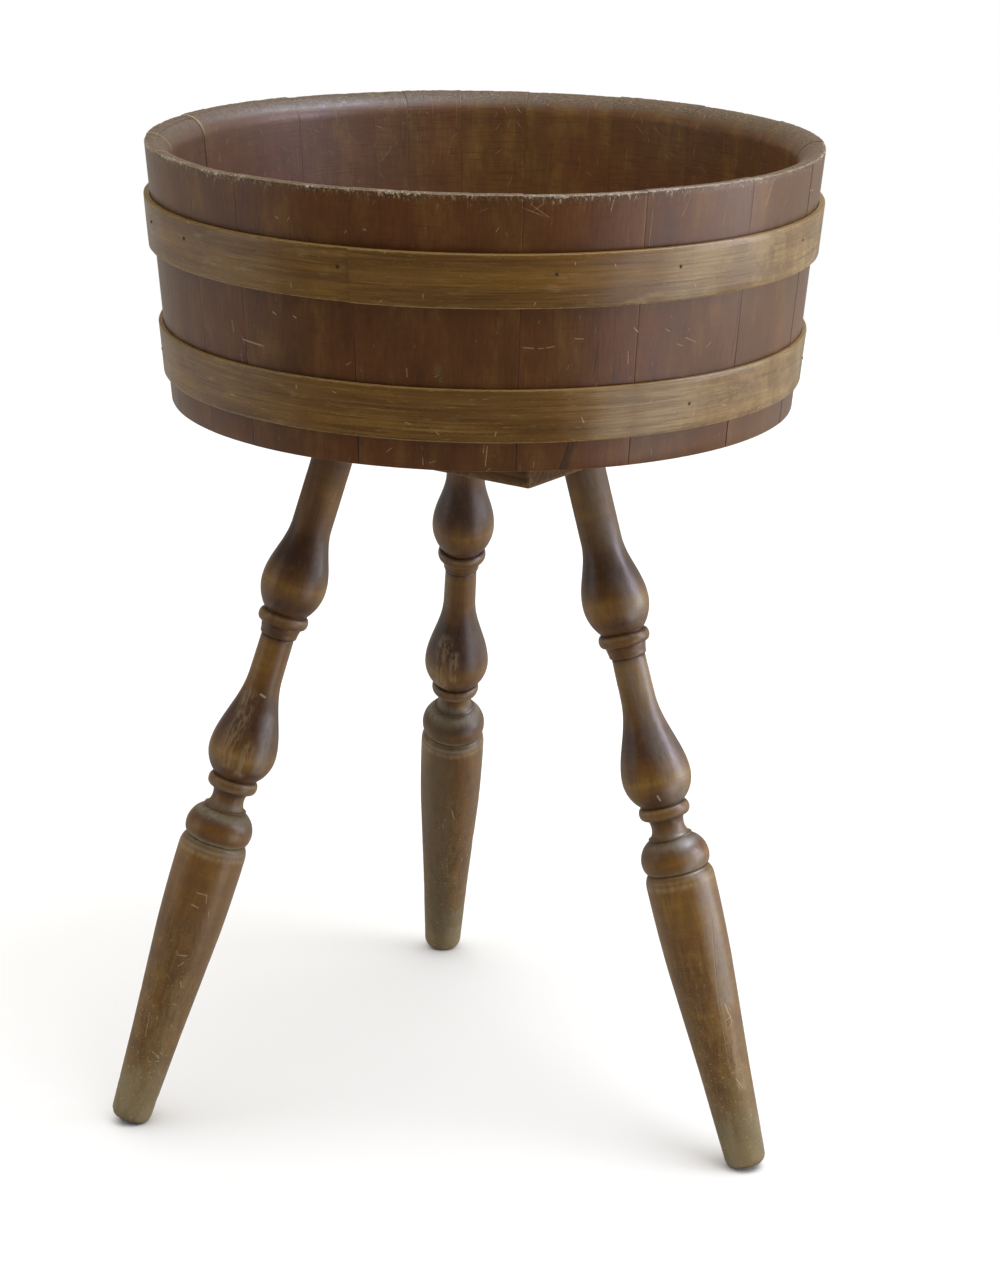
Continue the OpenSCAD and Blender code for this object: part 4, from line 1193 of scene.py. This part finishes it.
def makeBoardMaterial():
    material, tree, shader = newMaterial("boardStain")
    finish = boardFinish
    grain = attribute(tree, "grain").outputs["Vector"]
    streak = cloud(tree, stretch(tree, grain, (0.03, 1, 1)), 260, 5, 0.62)
    fineStreak = cloud(tree, stretch(tree, grain, (0.015, 1, 1)), 1500, 3, 0.6)
    patches = cloud(tree, stretch(tree, grain, (0.5, 1, 1)), 30, 5, 0.6)
    ringPlace = vectorCalc(tree, "LENGTH", stretch(tree, grain, (0.02, 1, 1), (0, 0.03, 0.09)))
    wobble = cloud(tree, stretch(tree, grain, (0.15, 1, 1)), 22, 3, 0.5)
    rings = calc(tree, "FRACT", calc(tree, "MULTIPLY", calc(tree, "MULTIPLY_ADD", wobble, 0.02, ringPlace), 260.0))
    ringLine = calc(tree, "MULTIPLY", spread(tree, rings, 0.5, 0.93), spread(tree, rings, 1.0, 0.94))
    color = tint(tree, spread(tree, patches, 0.35, 0.66), finish["stain"], finish["brown"])
    color = tint(tree, spread(tree, streak, 0.48, 0.75, 0.0, 0.6), color, finish["line"])
    color = tint(tree, calc(tree, "MULTIPLY", ringLine, 0.45), color, finish["line"])
    color = tint(tree, spread(tree, streak, 0.45, 0.2, 0.0, 0.35), color, finish["pale"])
    color = tint(tree, spread(tree, fineStreak, 0.5, 0.75, 0.0, 0.4), color, finish["line"])
    # distance to the nearest edge, from the board's own middle
    x, y, z = split(tree, grain)
    halves = (board["side"] / 2, board["side"] / 2, board["thickness"] / 2)
    fromSide = [calc(tree, "SUBTRACT", half, calc(tree, "ABSOLUTE", way)) for half, way in zip(halves, (x, y, z))]
    pairs = [calc(tree, "MAXIMUM", fromSide[first], fromSide[second]) for first, second in ((0, 1), (0, 2), (1, 2))]
    fromEdge = calc(tree, "MINIMUM", calc(tree, "MINIMUM", pairs[0], pairs[1]), pairs[2])
    ragged = calc(tree, "ADD", fromEdge, calc(tree, "MULTIPLY_ADD", cloud(tree, grain, 420, 4, 0.65), 0.008, -0.004))
    worn = spread(tree, ragged, 0.0040, 0.0012, 0.0, 0.4)
    color = tint(tree, worn, color, finish["pale"])
    tree.links.new(color, shader.inputs["Base Color"])
    rough = calc(tree, "MULTIPLY_ADD", patches, 0.2, finish["gloss"] - 0.1)
    tree.links.new(rough, shader.inputs["Roughness"])
    shader.inputs["Specular IOR Level"].default_value = 0.12
    height = calc(tree, "ADD", calc(tree, "MULTIPLY", streak, 0.6), calc(tree, "MULTIPLY", fineStreak, 0.3))
    height = calc(tree, "SUBTRACT", height, calc(tree, "MULTIPLY", ringLine, 0.25))
    relief(tree, shader, height, 0.0003, 0.8)
    return material


def makeBoard(material):
    side = board["side"]
    bm = bmesh.new()
    bmesh.ops.create_cube(bm, size=1.0)
    bmesh.ops.scale(bm, vec=(side, side, board["thickness"]), verts=bm.verts)

    def isUpright(edge):
        return abs(edge.verts[0].co.z - edge.verts[1].co.z) > board["thickness"] / 2

    softenEdges(bm, [edge for edge in bm.edges if isUpright(edge)], board["cornerCut"], 2)
    low = [edge for edge in bm.edges if max(vert.co.z for vert in edge.verts) < -board["thickness"] * 0.4]
    softenEdges(bm, low, board["lowBevel"], 2)
    high = [edge for edge in bm.edges if min(vert.co.z for vert in edge.verts) > board["thickness"] * 0.4]
    softenEdges(bm, high, board["topSoften"], 2)
    bmesh.ops.triangulate(bm, faces=[face for face in bm.faces if len(face.verts) > 4])
    grainLayer = bm.verts.layers.float_vector.new("grain")
    for vert in bm.verts:
        vert[grainLayer] = vert.co.copy()
    stand = Matrix.Translation((board["middleX"], board["middleY"], board["underside"] + board["thickness"] / 2))
    bmesh.ops.transform(bm, matrix=stand @ Matrix.Rotation(math.radians(board["turn"]), 4, "Z"), verts=bm.verts)
    bmesh.ops.recalc_face_normals(bm, faces=bm.faces)
    piece = finishPiece("legBoard", bm, material, ["leg_block"], 30)

    # bore the three sockets, then keep the bored mesh
    cutters = []
    for name in leg["legs"]:
        splay = math.radians(leg["legs"][name][3])
        cutterMesh = bpy.data.meshes.new("borer")
        drill = bmesh.new()
        depth = 2 * leg["socketDepth"]
        drillRadius = leg["endRadius"] + board["socketClearance"]
        bmesh.ops.create_cone(drill, cap_ends=True, segments=72, radius1=drillRadius, radius2=drillRadius, depth=depth)
        mouth = board["underside"] / math.cos(splay)
        bmesh.ops.translate(drill, vec=(0, 0, mouth), verts=drill.verts)
        bmesh.ops.transform(drill, matrix=legPlace(name), verts=drill.verts)
        drill.to_mesh(cutterMesh)
        drill.free()
        cutter = bpy.data.objects.new("borer", cutterMesh)
        bpy.context.scene.collection.objects.link(cutter)
        cutters.append(cutter)
        bore = piece.modifiers.new("bore", "BOOLEAN")
        bore.operation = "DIFFERENCE"
        bore.solver = "EXACT"
        bore.object = cutter
    bpy.context.view_layer.update()
    bored = bpy.data.meshes.new_from_object(piece.evaluated_get(bpy.context.evaluated_depsgraph_get()))
    piece.modifiers.clear()
    piece.data = bored
    for cutter in cutters:
        bpy.data.objects.remove(cutter, do_unlink=True)
    return piece


makeBoard(makeBoardMaterial())
print("board bored for the legs")


# Floor of the tub

floorBoards = {
    "low": 0.0155,
    "high": 0.0315,
    "tongueLow": 0.0197,
    "tongueHigh": 0.0273,
    "tongueDepth": 0.005,
    "clearance": 0.0004,
    "joints": (-0.216, -0.096, 0.010, 0.104, 0.216),
    "gap": 0.0001,
    "arris": 0.0006,
}
floorFinish = {
    "stain": (0.118, 0.056, 0.0235),
    "dark": (0.050, 0.024, 0.0120),
    "grey": (0.165, 0.118, 0.072),
    "soil": (0.016, 0.011, 0.008),
}


def makeFloorMaterial():
    material, tree, shader = newMaterial("floorStain")
    finish = floorFinish
    grain = attribute(tree, "grain").outputs["Vector"]
    streak = cloud(tree, stretch(tree, grain, (0.03, 1, 1)), 260, 5, 0.62)
    fineStreak = cloud(tree, stretch(tree, grain, (0.015, 1, 1)), 1400, 3, 0.6)
    figure = cloud(tree, stretch(tree, grain, (0.12, 1, 1)), 34, 3, 0.5, 0.6)
    rings = calc(tree, "FRACT", calc(tree, "MULTIPLY", figure, 26.0))
    ringLine = calc(tree, "MULTIPLY", spread(tree, rings, 0.45, 0.92), spread(tree, rings, 1.0, 0.93))
    stainSpots = cloud(tree, objectPlace(tree), 13, 5, 0.62)
    color = tint(tree, spread(tree, stainSpots, 0.38, 0.68, 0.0, 0.62), finish["stain"], finish["dark"])
    plank = cloud(tree, stretch(tree, grain, (0.4, 1, 1)), 7, 2, 0.5)
    color = tint(tree, spread(tree, plank, 0.38, 0.66, 0.0, 0.45), color, finish["dark"])
    color = tint(tree, spread(tree, stainSpots, 0.36, 0.26, 0.0, 0.22), color, finish["grey"])
    color = tint(tree, spread(tree, streak, 0.48, 0.75, 0.0, 0.6), color, finish["dark"])
    color = tint(tree, calc(tree, "MULTIPLY", ringLine, 0.5), color, finish["dark"])
    color = tint(tree, spread(tree, fineStreak, 0.45, 0.2, 0.0, 0.3), color, finish["grey"])
    dust = cloud(tree, objectPlace(tree), 420, 4, 0.7)
    color = tint(tree, spread(tree, dust, 0.58, 0.75, 0.0, 0.4), color, finish["grey"])
    tree.links.new(color, shader.inputs["Base Color"])
    tree.links.new(spread(tree, stainSpots, 0.3, 0.7, 0.62, 0.48), shader.inputs["Roughness"])
    shader.inputs["Specular IOR Level"].default_value = 0.3
    height = calc(tree, "ADD", calc(tree, "MULTIPLY", streak, 0.6), calc(tree, "MULTIPLY", fineStreak, 0.3))
    relief(tree, shader, calc(tree, "SUBTRACT", height, calc(tree, "MULTIPLY", ringLine, 0.3)), 0.0004, 0.9)
    return material


def makeFloorBoard(number, front, back, material):
    low = floorBoards["low"]
    high = floorBoards["high"]
    tongueLow = floorBoards["tongueLow"]
    tongueHigh = floorBoards["tongueHigh"]
    reach = floorBoards["tongueDepth"] - floorBoards["clearance"]
    gap = floorBoards["clearance"]
    outline = (
        (0, low), (innerRadius(low) - gap, low), (innerRadius(tongueLow) - gap, tongueLow),
        (innerRadius(tongueLow) + reach, tongueLow), (innerRadius(tongueLow) + reach, tongueHigh),
        (innerRadius(tongueHigh) - gap, tongueHigh), (innerRadius(high) - gap, high), (0, high),
    )
    bm = bmesh.new()
    points = [bm.verts.new(aroundTub(radius, 0, height)) for radius, height in outline]
    for first, second in zip(points, points[1:]):
        bm.edges.new((first, second))
    bmesh.ops.spin(
        bm, geom=bm.verts[:] + bm.edges[:], cent=aroundTub(0, 0, 0), axis=(0, 0, 1), angle=2 * math.pi,
        steps=180, use_merge=True, use_duplicate=False,
    )
    closeShell(bm)
    for side, level in ((-1, front + floorBoards["gap"]), (1, back - floorBoards["gap"])):
        if abs(level) < innerRadius(high):
            bmesh.ops.bisect_plane(
                bm, geom=bm.verts[:] + bm.edges[:] + bm.faces[:], plane_co=(0, tub["axisY"] + level, 0),
                plane_no=(0, side, 0), clear_outer=True,
            )
            closeShell(bm)
    levels = [tub["axisY"] + front + floorBoards["gap"], tub["axisY"] + back - floorBoards["gap"]]
    cutFaces = [face for face in bm.faces if any(all(abs(v.co.y - y) < 1e-5 for v in face.verts) for y in levels)]
    softenEdges(bm, {edge for face in cutFaces for edge in face.edges}, floorBoards["arris"])
    bmesh.ops.recalc_face_normals(bm, faces=bm.faces)
    grainLayer = bm.verts.layers.float_vector.new("grain")
    offset = Vector((number * 1.7, number * 2.9, number * 0.8))
    for vert in bm.verts:
        vert[grainLayer] = vert.co + offset
    return finishPiece(f"floorBoard{number}", bm, material, [f"head_board_{number}"], 30)


floorMaterial = makeFloorMaterial()
joints = floorBoards["joints"]
for number, (front, back) in enumerate(zip(joints, joints[1:]), 1):
    makeFloorBoard(number, front, back, floorMaterial)
print("tub floor laid")


# Dowels and screws keep their CAD shape

def makeDowelMaterial():
    material, tree, shader = newMaterial("dowelWood")
    place = objectPlace(tree)
    streak = cloud(tree, stretch(tree, place, (1, 0.05, 1)), 900, 4, 0.6)
    color = tint(tree, spread(tree, streak, 0.35, 0.7), (0.42, 0.27, 0.13), (0.27, 0.16, 0.07))
    tree.links.new(color, shader.inputs["Base Color"])
    tree.links.new(spread(tree, streak, 0.3, 0.7, 0.55, 0.7), shader.inputs["Roughness"])
    relief(tree, shader, streak, 0.0002, 0.6)
    return material


def makeSteelMaterial():
    material, tree, shader = newMaterial("screwSteel")
    place = objectPlace(tree)
    tarnish = cloud(tree, place, 700, 4, 0.6)
    color = tint(tree, spread(tree, tarnish, 0.4, 0.7), (0.30, 0.27, 0.23), (0.10, 0.065, 0.040))
    tree.links.new(color, shader.inputs["Base Color"])
    shader.inputs["Metallic"].default_value = 0.9
    tree.links.new(spread(tree, tarnish, 0.3, 0.7, 0.38, 0.62), shader.inputs["Roughness"])
    relief(tree, shader, tarnish, 0.0001, 0.5)
    return material


def dressNode(nodeName, material):
    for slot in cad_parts[nodeName].material_slots:
        slot.material = material


dressNode("head_dowels", makeDowelMaterial())
dressNode("block_screws", makeSteelMaterial())
print("dowels and screws finished")


# Studio

studio = {
    "floorSize": 5.0,
    "floorColor": (0.90, 0.90, 0.90),
    "skyStrength": 3.2,  # light from straight above, which keeps the floor evenly white
    "skyAngle": 100,
    "lights": (
        # name, place, point aimed at, width, height, power, colour, seen in gloss
        ("coolRight", (2.25, -0.12, 0.42), (0.0, 0.0, 0.5), 1.3, 0.8, 21.0, (0.88, 0.92, 1.0), True),
        ("softLeft", (-2.3, -0.4, 0.8), (0.0, 0.0, 0.5), 1.2, 1.6, 6.5, (0.90, 0.93, 1.0), True),
        ("softTop", (0.8, -0.6, 2.4), (-0.10, 0.05, 0.6), 1.2, 1.2, 20.0, (0.95, 0.96, 1.0), True),
        ("windowGlint", (2.3, -0.35, 1.45), (0.0, 0.0, 0.6), 0.9, 0.9, 36.0, (0.80, 0.76, 1.0), True),
        ("rimGlint", (1.25, 0.50, 2.75), (0.0, 0.0, 0.65), 0.7, 0.7, 120.0, (0.74, 0.81, 1.0), True),
    ),
    "dimRoom": (0.040, 0.040, 0.044),  # the room behind the viewer
    "paleRoom": (0.50, 0.48, 0.44),  # the room behind the stand
    "rightRoom": (0.80, 0.76, 0.68),  # what the right side of the room adds
    "roofShade": 0.45,  # how much of that brightness is left higher up
    "windowPool": (2.2, 2.4, 2.9),  # daylight lying on the floor at the right
    "leftPool": (0.24, 0.33, 0.40),  # a fainter one at the left
    "pools": (("windowPool", -29, -20, 24, 6), ("leftPool", 170, -24, 31, 10)),  # azimuth, height, outer and inner reach
}


def makeStudio():
    bm = bmesh.new()
    bmesh.ops.create_grid(bm, x_segments=1, y_segments=1, size=studio["floorSize"] / 2)
    mesh = bpy.data.meshes.new("paleFloor")
    bm.to_mesh(mesh)
    bm.free()
    floorPlane = bpy.data.objects.new("paleFloor", mesh)
    bpy.context.scene.collection.objects.link(floorPlane)
    material, tree, shader = newMaterial("palePaper")
    shader.inputs["Base Color"].default_value = studio["floorColor"] + (1.0,)
    shader.inputs["Roughness"].default_value = 1.0
    shader.inputs["Specular IOR Level"].default_value = 0.0
    mesh.materials.append(material)
    floorPlane.visible_glossy = False  # the varnish mirrors the room and not the white paper

    sky = bpy.data.lights.new("softSky", "SUN")
    sky.energy = studio["skyStrength"]
    sky.angle = math.radians(studio["skyAngle"])
    sky.color = (1.0, 0.99, 0.97)
    skyHolder = bpy.data.objects.new("softSky", sky)
    skyHolder.visible_glossy = False
    bpy.context.scene.collection.objects.link(skyHolder)

    for name, spot, aim, width, height, power, color, inGloss in studio["lights"]:
        lamp = bpy.data.lights.new(name, "AREA")
        lamp.shape = "RECTANGLE"
        lamp.size = width
        lamp.size_y = height
        lamp.energy = power
        lamp.color = color
        holder = bpy.data.objects.new(name, lamp)
        holder.location = spot
        holder.rotation_euler = (Vector(aim) - Vector(spot)).to_track_quat("-Z", "Y").to_euler()
        holder.visible_glossy = inGloss
        holder.visible_camera = False
        holder.visible_diffuse = not name.endswith("Glint")  # these only shine in the varnish
        bpy.context.scene.collection.objects.link(holder)

    # the room: pale behind the stand and to the right, dim behind the viewer, white where the camera looks
    world = bpy.data.worlds.new("paleRoom")
    bpy.context.scene.world = world
    world.use_nodes = True
    tree = world.node_tree
    tree.nodes.clear()
    output = tree.nodes.new("ShaderNodeOutputWorld")
    background = tree.nodes.new("ShaderNodeBackground")
    tree.links.new(background.outputs[0], output.inputs["Surface"])
    toRight, toBack, upward = split(tree, tree.nodes.new("ShaderNodeTexCoord").outputs["Generated"])
    room = tint(tree, spread(tree, toBack, -0.35, 0.75), studio["dimRoom"], studio["paleRoom"])
    room = tint(tree, spread(tree, toRight, 0.35, 0.95), room, studio["rightRoom"], "ADD")
    shade = spread(tree, upward, -0.05, 0.45, 1.0, studio["roofShade"])
    room = tint(tree, 1.0, room, shade, "MULTIPLY")
    for name, turn, lift, outer, inner in studio["pools"]:
        poolWay = Matrix.Rotation(math.radians(turn), 3, "Z") @ Matrix.Rotation(math.radians(-lift), 3, "Y") @ Vector((1, 0, 0))
        facing = vectorCalc(tree, "DOT_PRODUCT", tree.nodes.new("ShaderNodeTexCoord").outputs["Generated"], tuple(poolWay))
        pool = spread(tree, facing, math.cos(math.radians(outer)), math.cos(math.radians(inner)))
        room = tint(tree, pool, room, studio[name], "ADD")
    cameraRay = tree.nodes.new("ShaderNodeLightPath").outputs["Is Camera Ray"]
    tree.links.new(tint(tree, cameraRay, room, (1.0, 1.0, 1.0)), background.inputs["Color"])


makeStudio()


def makeCamera():
    pitch = math.radians(camera["pitch"])
    yaw = math.radians(camera["yaw"])
    roll = math.radians(camera["roll"])
    ahead = Vector((math.sin(yaw) * math.cos(pitch), math.cos(yaw) * math.cos(pitch), -math.sin(pitch)))
    level = Vector((math.cos(yaw), -math.sin(yaw), 0))
    above = level.cross(ahead)
    right = math.cos(roll) * level + math.sin(roll) * above
    upward = -math.sin(roll) * level + math.cos(roll) * above
    data = bpy.data.cameras.new("photoCamera")
    data.lens = camera["lens"]
    data.sensor_width = 36
    holder = bpy.data.objects.new("photoCamera", data)
    turned = Matrix((right, upward, -ahead)).transposed().to_4x4()
    holder.matrix_world = Matrix.Translation(camera["place"]) @ turned
    bpy.context.scene.collection.objects.link(holder)
    bpy.context.scene.camera = holder


makeCamera()
bpy.context.scene.view_settings.view_transform = "Standard"
print("studio and camera set")

bpy.context.view_layer.update()
